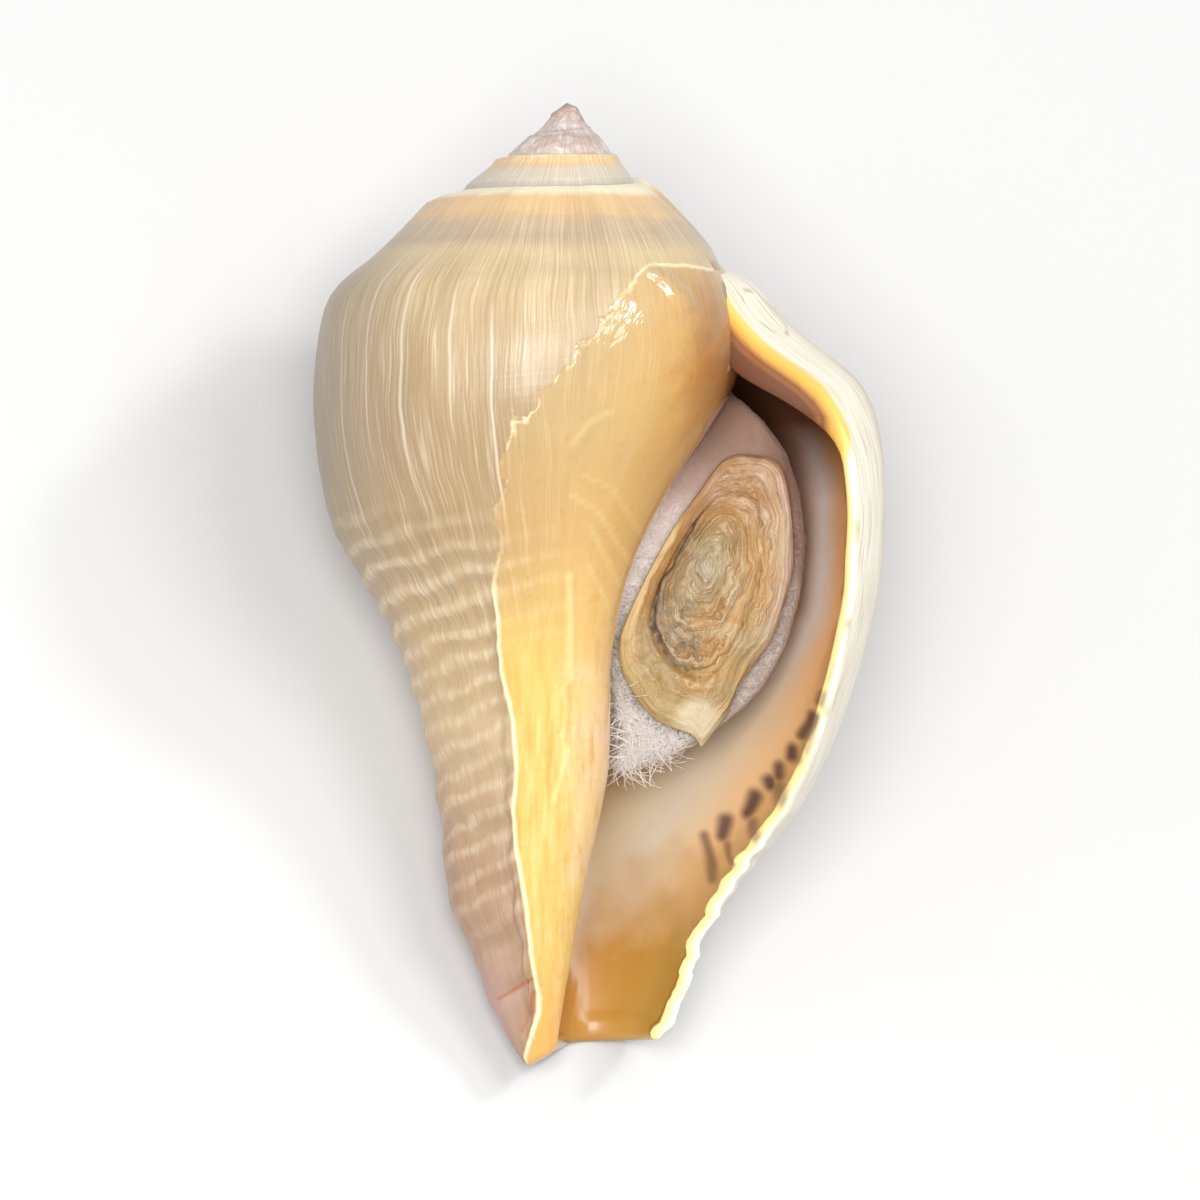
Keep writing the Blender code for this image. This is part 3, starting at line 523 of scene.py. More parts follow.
# Brown stains inside the lip, each a stroke: (x, depth) to (x, depth), half width in mm, strength
STAINS = [((15.5, 73.2), (16.5, 77.3), 0.4, 0.65), ((17.6, 71.5), (17.5, 73.0), 0.5, 0.85),
          ((18.0, 73.9), (18.3, 75.5), 0.32, 0.55), ((20.5, 69.0), (19.7, 70.6), 0.55, 0.9),
          ((20.4, 71.6), (20.6, 72.9), 0.45, 0.6), ((22.9, 66.0), (22.9, 66.8), 0.5, 0.85),
          ((21.9, 67.4), (22.0, 67.8), 0.5, 0.9), ((22.8, 68.0), (23.2, 69.1), 0.65, 0.6),
          ((24.2, 64.2), (24.2, 64.8), 0.5, 0.9), ((25.2, 62.7), (26.0, 60.7), 0.4, 0.85),
          ((25.7, 63.9), (26.4, 62.1), 0.5, 0.4), ((27.0, 59.3), (27.3, 58.5), 0.35, 0.6),
          ((27.7, 57.1), (28.3, 54.5), 0.25, 0.45)]
# Orange creases across the old growth at the tip, as strokes
CREASES = [((-5.2, 89.8), (-3.6, 88.9), 0.16, 0.8), ((-3.6, 88.9), (-1.5, 87.6), 0.18, 0.9),
           ((-2.3, 92.8), (-1.3, 91.0), 0.16, 0.7), ((-1.3, 91.0), (-0.9, 88.9), 0.16, 0.8)]
# A low ridge of film that catches the light, as strokes of bump
STREAK = [((8.7, 17.0), (10.2, 17.9), 0.35, 1.0), ((10.2, 17.9), (12.4, 20.2), 0.5, 1.0)]
# The oval scar on top of the lip: centre, way of its long axis, half lengths in mm
SCAR = ((20.2, 20.6), (0.72, 0.69), (3.0, 1.0))
WRINKLES = (5.6, 21.5, 24.0)            # where the film is most wrinkled: x, depth, z
THREAD_NOISE = 2.4                      # noise steps of the spiral threads to a mm
FILM_GROWTH = (-361.0, -205.0)          # the film lies on growth between these angles, degrees
FILM_BEHIND = -2.0                      # and in front of this z, mm
FILM_CORNER = (-333.0, -300.0, 16.0)    # it covers the corner at the suture: angle, growth angle, depth
FAR_OFF = 20.0                          # a distance that stands for far from its edge, mm

# Each whorl begins with a rounded step at the suture
STEP_HEIGHT = 0.3           # its height on the last whorl, mm
STEP_FIRST = 0.35           # its share of that on the first whorls
STEP_DOWN = (0.7, 0.5)      # how far below the suture it is highest, and its half width, mm
STEP_SINK = 0.25            # how far the whorl above sinks towards it, mm
STROKE_BEHIND = -3.0        # strokes raise only what lies in front of this z, mm
# Ridges and creases on the callus and at the tip: points (x, depth), half width, height, in mm
STROKES = [
    ([(1.3, 47.0), (1.45, 52.0), (1.6, 57.5)], 0.4, 0.14),
    ([(0.8, 58.3), (1.3, 60.5), (0.9, 63.0), (1.3, 65.0)], 0.35, 0.1),
    ([(1.5, 64.4), (0.9, 67.0), (0.2, 69.8)], 0.35, 0.13),
    ([(-5.2, 89.8), (-3.6, 88.9), (-1.5, 87.6)], 0.6, -0.45),
    ([(-2.3, 92.8), (-1.3, 91.0), (-0.9, 88.9)], 0.5, -0.3),
    ([(6.2, 48.0), (3.4, 42.6)], 0.5, 0.08),
    ([(7.4, 46.0), (4.2, 41.0), (1.5, 39.4)], 0.5, 0.08),
    ([(8.4, 43.0), (5.6, 38.8), (2.6, 37.2)], 0.5, 0.07),
    ([(5.3, 50.5), (3.1, 46.0)], 0.45, 0.07),
    ([(1.2, 34.6), (3.0, 32.2), (5.2, 31.0)], 0.5, 0.07),
]


# %% Distances and raised strokes
def along_line(places, line):
    """Distance from each place to a polyline, and the side it lies on: +1 to the left of the way along it."""
    best = np.full(len(places), 1e9)
    side = np.ones(len(places))
    for start, stop in zip(np.array(line[:-1], float), np.array(line[1:], float)):
        way = stop - start
        share = np.clip(((places - start) @ way) / (way @ way), 0.0, 1.0)
        apart = places - start - share[:, None] * way
        far = np.hypot(apart[:, 0], apart[:, 1])
        turn = way[0] * (places[:, 1] - start[1]) - way[1] * (places[:, 0] - start[0])
        side = np.where(far < best, np.sign(turn), side)
        best = np.minimum(best, far)
    return best, side


home = placed(flat)
front = home[:, :2]
inside = np.zeros(len(flat))
growth = np.full(len(flat), -9999.0)
line_age = np.zeros(len(flat))
for k in range(4):
    inside[faces[:, k]] = np.maximum(inside[faces[:, k]], corners[:, k, 4])
    growth[faces[:, k]] = np.maximum(growth[faces[:, k]], corners[:, k, 5])
    line_age[faces[:, k]] = corners[:, k, 0]
outer_face = inside < 0.5
distance, side = along_line(front, FILM_EDGE)
there = (growth > FILM_GROWTH[0]) & (growth < FILM_GROWTH[1]) & (home[:, 2] > FILM_BEHIND)
film = np.where(there, distance * -side, -FAR_OFF)
corner = (flat[:, 0] < FILM_CORNER[0]) & (growth < FILM_CORNER[1]) & (home[:, 1] > FILM_CORNER[2])
film = np.where(corner & outer_face, FAR_OFF, film)
rim, side = along_line(front, LIP_EDGE)
rim = rim * side
below_at = np.zeros(len(flat))
share_at = np.full(len(flat), 2.0)
for k in range(4):
    below_at[faces[:, k]] = corners[:, k, 1]
    share_at[faces[:, k]] = corners[:, k, 2]
# The step grows from the first whorls to the last one, and fades where the lip begins
whorl = np.clip(STEP_FIRST + (growth + 900.0) / 540.0, STEP_FIRST, 1.0)
hump = np.exp(-((below_at / whorl - STEP_DOWN[0]) / STEP_DOWN[1]) ** 2)
raised = STEP_HEIGHT * whorl * hump * (growth > -1400.0)
raised = raised - STEP_SINK * whorl * ease(0.8, 0.97, share_at) * (share_at < 1.0) * (growth < -336.0)
raised = raised * outer_face * (growth < 5.0)
on_front = (home[:, 2] > STROKE_BEHIND) & (growth < -150.0) & (growth > FILM_GROWTH[0]) & outer_face
for points, half, height in STROKES:
    apart = along_line(front, points)[0]
    raised = raised + height * np.exp(-(apart / half) ** 2) * on_front
print("film covers", int((film > 0).sum()), "points; strokes raise", int((raised > 0.03).sum()))


# %% [markdown]
# ## Make the ribbon a mesh
# Points that no face uses are dropped, and a face whose corners coincide, at the tip of the spire,
# becomes a triangle. The faces are turned outward while the points stand at their wound places, and
# then the points go back to the flat ribbon. What the points and corners remember is stored as
# attributes of the mesh, which both Geometry Nodes and materials can read.

# %% The flat ribbon
def keep(mesh, name, kind, domain, values):
    """Store a value for each point or corner of a mesh."""
    slot = mesh.attributes.new(name, kind, domain)
    slot.data.foreach_set("vector" if kind == "FLOAT_VECTOR" else "value",
                          np.ravel(values).astype(np.float32))


def ribbon_mesh():
    """The flat ribbon with its attributes."""
    used = np.unique(faces)
    place = np.zeros(len(flat), int)
    place[used] = np.arange(len(used))
    loops = []
    loop_corners = []
    for face, memory in zip(place[faces], corners):
        order = [k for k in range(4) if face[k] not in face[:k]]
        if len(order) > 2:
            loops.append(face[order].tolist())
            loop_corners.append(memory[order])
    mesh = bpy.data.meshes.new("shell")
    mesh.from_pydata((home[used] * (1.0, -1.0, 1.0)).tolist(), [], loops)
    told = np.concatenate(loop_corners)
    keep(mesh, "grow", "FLOAT_VECTOR", "CORNER", told[:, :3])
    keep(mesh, "wall", "FLOAT_VECTOR", "CORNER", told[:, 3:])
    keep(mesh, "home", "FLOAT_VECTOR", "POINT", home[used])
    keep(mesh, "film", "FLOAT", "POINT", film[used])
    keep(mesh, "stroke", "FLOAT", "POINT", raised[used])
    keep(mesh, "rim", "FLOAT", "POINT", rim[used])
    keep(mesh, "age", "FLOAT", "POINT", line_age[used])
    keep(mesh, "inner", "FLOAT", "POINT", inside[used])
    mesh.validate()
    shape = bmesh.new()
    shape.from_mesh(mesh)
    bmesh.ops.recalc_face_normals(shape, faces=shape.faces)
    print("volume as wound, mm3:", round(shape.calc_volume(signed=True)))
    shape.to_mesh(mesh)
    shape.free()
    mesh.vertices.foreach_set("co", np.ravel(flat[used] * MM).astype(np.float32))
    return mesh


shell = bpy.data.objects.new("shell_grown", ribbon_mesh())
bpy.context.scene.collection.objects.link(shell)
print("shell ribbon:", len(shell.data.vertices), "points,", len(shell.data.polygons), "faces")

# %% [markdown]
# ## Wind the ribbon with Geometry Nodes
# One tree turns the flat ribbon into the shell: a point's angle and radius become a place on a circle,
# its depth a place along the axis. The lower edge of the lip strays a little on the way. Then the tree
# raises growth ridges, spiral cords, broad swellings of the base, the step at the film's edge and the
# strokes, and lays the shell down on its back as the solids lie. Its inputs carry the sizes.

# %% The winding tree
ROLL = -15.0                # turn about the long axis, degrees
PITCH = 21.042              # then the apex end raised, degrees
ORIGIN = (3.912, -34.404, -39.511)      # the worn spot in the turned frame, mm
CORD_SPACING = 2.5          # from one spiral cord to the next, mm
SWELL_SPACING = 5.7         # from one broad swelling of the base to the next, mm
SWELL_HEIGHT = 0.24         # its height, mm
LIP_STRAY = 2.6             # how far the lower lip's edge would stray at most, mm
STRAY_NOISE = 0.45          # noise steps of that per mm
OLD_SIDE = (-175.0, -120.0)             # cords and swellings fade out between these ages, degrees
# Inputs of every tree that lays its piece down
LAID = [("Roll", "NodeSocketFloat", ROLL), ("Pitch", "NodeSocketFloat", PITCH),
        ("Origin", "NodeSocketVector", ORIGIN)]


# %% Beginning, ending and running a tree
def new_tree(name, inputs):
    """An empty Geometry Nodes tree with named inputs; gives the tree and its group input node."""
    tree = bpy.data.node_groups.new(name, "GeometryNodeTree")
    tree.interface.new_socket("Geometry", in_out="INPUT", socket_type="NodeSocketGeometry")
    for label, kind, value in inputs:
        made = tree.interface.new_socket(label, in_out="INPUT", socket_type=kind)
        if value is not None:
            made.default_value = value
    tree.interface.new_socket("Geometry", in_out="OUTPUT", socket_type="NodeSocketGeometry")
    return tree, tree.nodes.new("NodeGroupInput").outputs


def finish_tree(tree, geometry, finish):
    """End a tree in Realize Instances and Set Material."""
    real = add(tree, "GeometryNodeRealizeInstances", geometry)
    made = add(tree, "GeometryNodeSetMaterial", real, None, finish)
    out = tree.nodes.new("NodeGroupOutput")
    tree.links.new(made, out.inputs[0])


def lay_down_nodes(tree, geometry, given):
    """Roll about the long axis, raise the apex end and move the worn spot to the origin."""
    turned_y = add(tree, COMBINE, 0.0, add(tree, "radians", given["Roll"]), 0.0)
    turned_x = add(tree, COMBINE, add(tree, "radians", given["Pitch"]), 0.0, 0.0)
    rolled = add(tree, "GeometryNodeTransform", geometry, None, turned_y)
    raised = add(tree, "GeometryNodeTransform", rolled, None, turned_x)
    back = add(tree, VECTOR, given["Origin"], (-MM, -MM, -MM), operation="MULTIPLY")
    return add(tree, "GeometryNodeTransform", raised, back)


def not_under(tree, geometry):
    """Nothing lies below the plane that the shell rests on."""
    x, y, z = add(tree, SEPARATE, add(tree, "GeometryNodeInputPosition"), out=None)
    level = add(tree, "max", z, 0.0)
    return add(tree, "GeometryNodeSetPosition", geometry, None, add(tree, COMBINE, x, y, level))


def apply_tree(piece, tree, inputs):
    """Run a tree on an object and keep the result as its plain mesh."""
    modifier = piece.modifiers.new(tree.name, "NODES")
    modifier.node_group = tree
    for item in tree.interface.items_tree:
        if item.item_type == "SOCKET" and item.in_out == "INPUT" and item.name in inputs:
            modifier[item.identifier] = inputs[item.name]
    bpy.context.view_layer.update()
    ready = piece.evaluated_get(bpy.context.evaluated_depsgraph_get())
    mesh = bpy.data.meshes.new_from_object(ready)
    piece.modifiers.remove(modifier)
    piece.data = mesh
    mesh.shade_smooth()
    return mesh


# %% Wind and raise
def cord_wave(tree, age, depth):
    """Spiral cords on the narrow base, from -1 to 1: they run round, and sink as they go."""
    way = add(tree, "+", depth, add(tree, "*", age, -0.062))
    bend = add(tree, NOISE, add(tree, COMBINE, add(tree, "*", age, 0.05), add(tree, "*", depth, 0.22), 3.0),
               1.0, 3.0, 0.55)
    way = add(tree, "+", way, add(tree, "*", bend, 2.6))
    wave = add(tree, "sin", add(tree, "*", way, 2.0 * math.pi / CORD_SPACING))
    where = add(tree, "*", add(tree, RANGE, depth, 40.0, 47.0, 0.0, 1.0),
                add(tree, "+", add(tree, RANGE, depth, 53.0, 62.0, 0.55, 0.0),
                    add(tree, RANGE, depth, 76.0, 88.0, 0.45, 0.0)))
    return add(tree, "*", wave, where)


def winding_tree():
    """The tree that winds, raises and lays down the ribbon."""
    tree, given = new_tree("wind the shell", LAID + [
        ("Ridge height", "NodeSocketFloat", 0.09), ("Cord height", "NodeSocketFloat", 0.2),
        ("Film height", "NodeSocketFloat", 0.35), ("Finish", "NodeSocketMaterial", None)])
    angle, depth, radius = add(tree, SEPARATE, add(tree, "GeometryNodeInputPosition"), out=None)
    turn = add(tree, "*", angle, math.pi / 180 / MM)
    # The lower edge of the lip grew unevenly
    stray = add(tree, COMBINE, 0.0, 0.0, add(tree, "*", depth, STRAY_NOISE / MM))
    stray = add(tree, NOISE, stray, 1.0, 2.0, 0.6)
    near_lip = add(tree, "*", add(tree, RANGE, angle, -25.0 * MM, 10.0 * MM, 0.0, LIP_STRAY * MM),
                   add(tree, RANGE, depth, 66.0 * MM, 74.0 * MM, 0.0, 1.0))
    stray = add(tree, "*", add(tree, "-", stray, 0.5), near_lip)
    radius = add(tree, "+", radius, stray)
    x = add(tree, "*", radius, add(tree, "cos", turn))
    z = add(tree, "*", radius, add(tree, "sin", turn))
    y = add(tree, "*", depth, -1.0)
    wound = add(tree, "GeometryNodeSetPosition", given["Geometry"], None, add(tree, COMBINE, x, y, z))

    age = add(tree, KEPT, "age")
    depth = add(tree, SEPARATE, add(tree, KEPT, "home", data_type="FLOAT_VECTOR"), out=1)
    film = add(tree, KEPT, "film")
    bare = add(tree, RANGE, film, -0.4, 0.3, 1.0, 0.0)
    outside = add(tree, "-", 1.0, add(tree, KEPT, "inner"))
    open_face = add(tree, "*", bare, outside)

    # Growth ridges: long along the lip, narrow across it, broad and fine together
    fine = add(tree, COMBINE, add(tree, "*", age, 0.42), add(tree, "*", depth, 0.035), 0.0)
    fine = add(tree, NOISE, fine, 1.0, 3.0, 0.6)
    broad = add(tree, COMBINE, add(tree, "*", age, 0.085), add(tree, "*", depth, 0.02), 7.0)
    broad = add(tree, NOISE, broad, 1.0, 2.0, 0.5)
    both = add(tree, "+", fine, add(tree, "*", broad, 1.6))
    ridge = add(tree, "*", add(tree, "-", both, 1.3), given["Ridge height"])
    ridge = add(tree, "*", ridge, add(tree, "*", open_face, add(tree, RANGE, age, -60.0, 0.0, 1.0, 0.25)))
    ridge = add(tree, "*", ridge, add(tree, RANGE, depth, 48.0, 62.0, 1.0, 0.45))

    cords = add(tree, "*", cord_wave(tree, age, depth), given["Cord height"])
    # Broad swellings that the outline of the base shows on the left
    swell = add(tree, "sin", add(tree, "*", depth, 2.0 * math.pi / SWELL_SPACING))
    swell = add(tree, "*", swell, add(tree, RANGE, depth, 56.0, 64.0, 0.0, SWELL_HEIGHT))
    swell = add(tree, "*", swell, add(tree, RANGE, depth, 88.0, 93.0, 1.0, 0.0))
    cords = add(tree, "+", cords, swell)
    cords = add(tree, "*", cords, add(tree, "*", open_face, add(tree, RANGE, age, *OLD_SIDE, 1.0, 0.0)))

    # The film is thin in front of the mouth and thickens to the callus, which ends in a rounded step
    film_step = add(tree, "*", add(tree, RANGE, film, -0.25, 0.35, 0.0, 1.0),
                    add(tree, RANGE, depth, 38.0, 60.0, 0.1, 1.0, interpolation_type="SMOOTHSTEP"))
    film_step = add(tree, "*", film_step, given["Film height"])
    height = add(tree, "+", add(tree, "+", ridge, cords), film_step)
    height = add(tree, "+", height, add(tree, KEPT, "stroke"))
    normal = add(tree, "GeometryNodeInputNormal")
    offset = add(tree, VECTOR, normal, add(tree, "*", height, MM), operation="SCALE")
    raised = add(tree, "GeometryNodeSetPosition", wound, None, None, offset)
    laid = lay_down_nodes(tree, raised, given)
    finish_tree(tree, not_under(tree, laid), given["Finish"])
    return tree


# %% [markdown]
# ## The operculum
# The plate is horn that the animal laid down in thin sheets, each a little larger than the last, so it
# is built of rings round its oldest part. A grid of rings takes the measured outline at its edge, and a
# Geometry Nodes tree raises the ragged ends of the sheets, which run along the rings and break up where
# the plate has flaked. A texture alone would miss the raised oval in the middle, so that is in the mesh.

# %% Rings of the plate
OPERCULUM_EDGE = [(17.2, 34.6), (20.8, 34.7), (22.7, 36.3), (23.4, 40.0), (23.9, 45.6), (23.0, 49.0),
                  (21.9, 53.2), (19.9, 55.8), (18.4, 58.3), (17.6, 60.6), (16.3, 62.3), (15.0, 64.1),
                  (14.2, 62.8), (11.6, 62.2), (9.8, 61.0), (7.9, 58.8), (6.6, 56.1), (6.4, 53.7),
                  (7.2, 51.3), (8.8, 47.6), (10.6, 44.0), (11.9, 41.7), (13.6, 39.3), (15.3, 36.8)]
OPERCULUM_HEART = (15.2, 44.8)
OPERCULUM_LEVEL = -0.6      # how far towards the viewer the plate's face lies at its left edge, mm
OPERCULUM_LEAN = 0.16       # how fast it sinks towards the lip
OPERCULUM_THICK = 1.2       # thickness at the edge, mm
OPERCULUM_LEFT = min(x for x, depth in OPERCULUM_EDGE)
# Height of the plate's face over its level at each share of the way out, mm
RING_HEIGHTS = [(0.0, 0.35), (0.17, 0.4), (0.34, 0.15), (0.5, 0.45), (0.62, 0.75), (0.67, 0.65), (0.72, -0.2),
                (0.8, -0.1), (0.87, -0.15), (0.965, 0.0), (1.0, -0.3)]
LUMPS = (10.8, 53.6, -1.0)  # where the oldest sheets have cracked into lumps: x, depth, z
SPIKE = 11                  # the one corner of the outline that is sharp
PLATE_SIDES = 288           # points round the plate
PLATE_RINGS = 110           # rings from its edge to its heart
SOFT_ROUNDS = 40            # rounds of averaging that take the corners off its outline
OVAL_ROUNDS = 500           # and that leave only an oval
TORN_TOP = (19.6, 37.6, -2.5)           # middle of the pale torn patch at its top, in mm
LOW_FLAKE = (14.6, 61.4, -1.5)          # and of the flaked patch at its foot
# Noise steps from the heart to the edge: sheets end every 0.3 to 0.6 mm, threads lie 0.1 to 0.2 mm apart
SHEET_NOISE = 26.0
HORN_NOISE = 85.0


def plate_level(x):
    """Height of the operculum's face at a distance across the shell."""
    return OPERCULUM_LEVEL - OPERCULUM_LEAN * (x - OPERCULUM_LEFT)


# %% The plate's mesh
def operculum_mesh():
    """The plate as rings, in mm in the shell's frame, closed by a flat back."""
    corner = np.array(OPERCULUM_EDGE + OPERCULUM_EDGE[:3], float)
    corner = np.concatenate([np.array(OPERCULUM_EDGE[-2:], float), corner])
    run = np.arange(len(corner)) - 2.0
    around = np.arange(PLATE_SIDES) / PLATE_SIDES * len(OPERCULUM_EDGE)
    edge = np.stack([smooth_through(run, column, around) for column in corner.T])
    spike = np.exp(-((around - SPIKE) / 0.55) ** 2)
    soft = edge
    for _ in range(SOFT_ROUNDS):
        soft = 0.5 * soft + 0.25 * (np.roll(soft, 1, axis=1) + np.roll(soft, -1, axis=1))
    oval = soft
    for _ in range(OVAL_ROUNDS):
        oval = 0.5 * oval + 0.25 * (np.roll(oval, 1, axis=1) + np.roll(oval, -1, axis=1))
    heart = np.array(OPERCULUM_HEART)
    sizes, heights = zip(*RING_HEIGHTS)
    rings = [(0.9, -OPERCULUM_THICK), (0.975, -OPERCULUM_THICK), (1.0, -OPERCULUM_THICK + 0.2)]
    for size in np.linspace(1.0, 0.02, PLATE_RINGS):
        rings.append((size, float(smooth_through(sizes, heights, size))))
    stepped = 0.25 + 0.75 * ease(-0.35, 0.45, -(edge[0] - heart[0]) / 8.0)
    points = []
    for size, height in rings:
        line = oval + (soft - oval) * float(ease(0.6, 0.9, size))
        line = line + (edge - soft) * spike * float(ease(0.84, 1.0, size))
        x = heart[0] + (line[0] - heart[0]) * size
        depth = heart[1] + (line[1] - heart[1]) * size
        height = height * (stepped if 0.5 < size < 0.97 else 1.0)
        points.append(np.stack([x, -depth, plate_level(x) + height], 1))
    points = np.concatenate(points)
    middle = [[heart[0], -heart[1], plate_level(heart[0]) + height] for height in (-OPERCULUM_THICK, 0.3)]
    ids = np.arange(len(points)).reshape(len(rings), PLATE_SIDES)
    after = np.roll(ids, -1, axis=1)
    quads = np.stack([ids[:-1], after[:-1], after[1:], ids[1:]], 2).reshape(-1, 4).tolist()
    quads += [[int(b), int(a), len(points)] for a, b in zip(ids[0], after[0])]
    quads += [[int(a), int(b), len(points) + 1] for a, b in zip(ids[-1], after[-1])]
    mesh = bpy.data.meshes.new("operculum")
    mesh.from_pydata((np.concatenate([points, middle]) * MM).tolist(), [], quads)
    size = np.concatenate([np.repeat([ring[0] for ring in rings], PLATE_SIDES), [0.0, 0.0]])
    face = np.concatenate([np.repeat([0.0, 0.0, 0.3] + [1.0] * PLATE_RINGS, PLATE_SIDES), [0.0, 1.0]])
    home = np.concatenate([points, middle]) * (1.0, -1.0, 1.0)
    turn = np.arctan2(home[:, 1] - heart[1], home[:, 0] - heart[0])
    keep(mesh, "home", "FLOAT_VECTOR", "POINT", home)
    keep(mesh, "ring", "FLOAT_VECTOR", "POINT", np.stack([size, np.cos(turn), np.sin(turn)], 1))
    keep(mesh, "face", "FLOAT", "POINT", face)
    return mesh


# %% The plate's tree
def plate_rings(tree, size, east, south, place):
    """The warped rings of the plate and its sheets, from 0 to 1; relief and colour share them."""
    warp = add(tree, NOISE, place, 0.28, 4.0, 0.6)
    warp = add(tree, "*", add(tree, "-", warp, 0.5), add(tree, RANGE, size, 0.7, 1.0, 0.32, 0.08))
    ring = add(tree, "+", size, add(tree, "+", warp, 0.08))
    sheets = add(tree, COMBINE, add(tree, "*", ring, SHEET_NOISE), add(tree, "*", east, 0.9),
                 add(tree, "*", south, 0.9))
    sheets = add(tree, NOISE, sheets, 1.0, 3.0, 0.6)
    return ring, add(tree, RANGE, sheets, 0.32, 0.68, 0.0, 1.0)


def plate_tree():
    """The tree that raises the ragged sheets of the plate and lays it down."""
    tree, given = new_tree("raise the sheets", LAID + [
        ("Sheet height", "NodeSocketFloat", 0.25), ("Finish", "NodeSocketMaterial", None)])
    size, east, south = add(tree, SEPARATE, add(tree, KEPT, "ring", data_type="FLOAT_VECTOR"), out=None)
    place = add(tree, KEPT, "home", data_type="FLOAT_VECTOR")
    sheets = plate_rings(tree, size, east, south, place)[1]
    lumps = add(tree, NOISE, place, 0.9, 3.0, 0.6)
    rough = add(tree, RANGE, size, 0.45, 0.8, 1.2, 0.45)
    cells = add(tree, "ShaderNodeTexVoronoi", place, 0.55, 2.0, 0.5, 2.0, 0.9, feature="DISTANCE_TO_EDGE")
    near = add(tree, VECTOR, place, LUMPS, operation="DISTANCE", out=-1)
    lump = add(tree, "*", add(tree, RANGE, cells, 0.0, 0.35, -0.4, 1.0),
               add(tree, RANGE, near, 2.5, 5.0, 2.2, 0.0))
    lumps = add(tree, "+", lumps, lump)
    height = add(tree, "+", add(tree, "+", sheets, lumps), -0.75)
    height = add(tree, "*", add(tree, "*", height, rough), given["Sheet height"])
    height = add(tree, "*", add(tree, "*", height, add(tree, KEPT, "face")), MM)
    raised = add(tree, "GeometryNodeSetPosition", given["Geometry"], None, None,
                 add(tree, COMBINE, 0.0, 0.0, height))
    laid = lay_down_nodes(tree, raised, given)
    finish_tree(tree, laid, given["Finish"])
    return tree


operculum = bpy.data.objects.new("operculum_rings", operculum_mesh())
bpy.context.scene.collection.objects.link(operculum)
print("operculum:", len(operculum.data.polygons), "faces")

# %% [markdown]
# ## The cotton
# The wad is two pieces: a lumpy body that fills the hollow behind the plate, and the loose fibres on
# its face, which catch the light as fluff. The body is lofted through the hollow as its solid is, only
# finer. The fibres are one small arc of three sides, set on the body thousands of times by Geometry
# Nodes, turned and sized at random from a fixed seed.

# %% The body of the wad
WAD_EDGE = [(28.6, 18.6), (31.0, 21.6), (34.0, 23.6), (38.0, 24.6), (43.0, 25.0), (48.0, 24.7),
            (53.0, 23.8), (58.0, 22.0), (61.0, 19.6), (64.0, 15.6), (66.4, 9.0)]
WAD_LEVEL = [(28.6, 2.1), (36.0, 0.0), (63.0, 0.0), (66.4, 0.7)]    # how far its face sinks: (depth, mm)
WAD_BACK = -170.0           # growth angle of its far end, degrees
WAD_SIDES = 96              # points round it
WAD_SPREAD = 0.4            # share of its length in which it widens to fill the hollow
WAD_TOP_SPARE = 3.0         # free height above it inside the hollow, mm
WAD_FOOT_SPARE = 4.0        # and below it
WAD_FOOT = 67.0             # its greatest depth, mm
GAP = 0.35                  # clearance between pieces, mm
WAD_FACE = np.linspace(0.08, 0.97, 26)  # loops across its face, as shares of the way out
WAD_WAY = (0.015, 0.03, 0.05, 0.08, 0.12, 0.17, 0.24, 0.34, 0.48, 0.64, 0.82, 0.98)     # and along it
WAD_SQUARE = (0.7, 0.9)     # how round its section is across and down: 1 is an ellipse
LOOSE_DOWN = (44.0, 60.0)   # the cotton gets loose between these depths, mm
LOOSE_LEFT = (11.0, 16.0)   # and is pressed again between these x, mm
CLEAR = 1.07                # fibres keep off the plate's outline, enlarged by this


@functools.lru_cache(maxsize=None)
def hollow_section(angle):
    """Rows of the hollow at a whole growth angle: depth, radius of the pillar, radius of the wall."""
    depth, radius = inner_profile(float(angle), outer_profile(float(angle))[0])
    return depth, pillar_radius(angle - 360.0, depth), radius


def wad_point(share, across, down):
    """A point of the wad: a share of the way in, and across and down the hollow from -1 to 1."""
    edge_depth, edge_x = zip(*WAD_EDGE)
    deep = min(share / WAD_SPREAD, 1.0)
    angle = -10.0
    for _ in range(6):
        section, pillar, wall_row = hollow_section(round(min(angle, 5.0)))
        top = edge_depth[0] + deep * (section[0] + WAD_TOP_SPARE - edge_depth[0])
        foot = edge_depth[-1] + deep * (min(section[-1] - WAD_FOOT_SPARE, WAD_FOOT) - edge_depth[-1])
        depth = 0.5 * (top + foot) + 0.5 * (foot - top) * down
        near = float(np.interp(depth, section, pillar)) + 2 * GAP
        far = float(np.interp(depth, section, wall_row)) - 2 * GAP
        free = float(np.interp(depth, edge_depth, edge_x)) / math.cos(math.radians(angle))
        far = max(near + 0.5, far + (min(free, far) - far) * (1.0 - deep))
        radius = near + (far - near) * (0.5 + 0.5 * across)
        sunk = plate_level(radius * math.cos(math.radians(angle))) - OPERCULUM_THICK - GAP
        sunk = sunk - float(np.interp(depth, *zip(*WAD_LEVEL)))
        front = math.degrees(math.asin(sunk / radius))
        angle = front + (WAD_BACK - front) * share
    turn = math.radians(angle)
    return radius * math.cos(turn), -depth, radius * math.sin(turn)


def behind_plate(x, depth):
    """Which places lie behind the plate or close to its outline."""
    x, depth = [middle + (value - middle) / CLEAR for value, middle in zip((x, depth), OPERCULUM_HEART)]
    inside = np.zeros(len(x), bool)
    for (x0, depth0), (x1, depth1) in zip(OPERCULUM_EDGE, OPERCULUM_EDGE[1:] + OPERCULUM_EDGE[:1]):
        crossed = (depth0 > depth) != (depth1 > depth)
        inside ^= crossed & (x < x0 + (x1 - x0) * (depth - depth0) / (depth1 - depth0))
    return inside


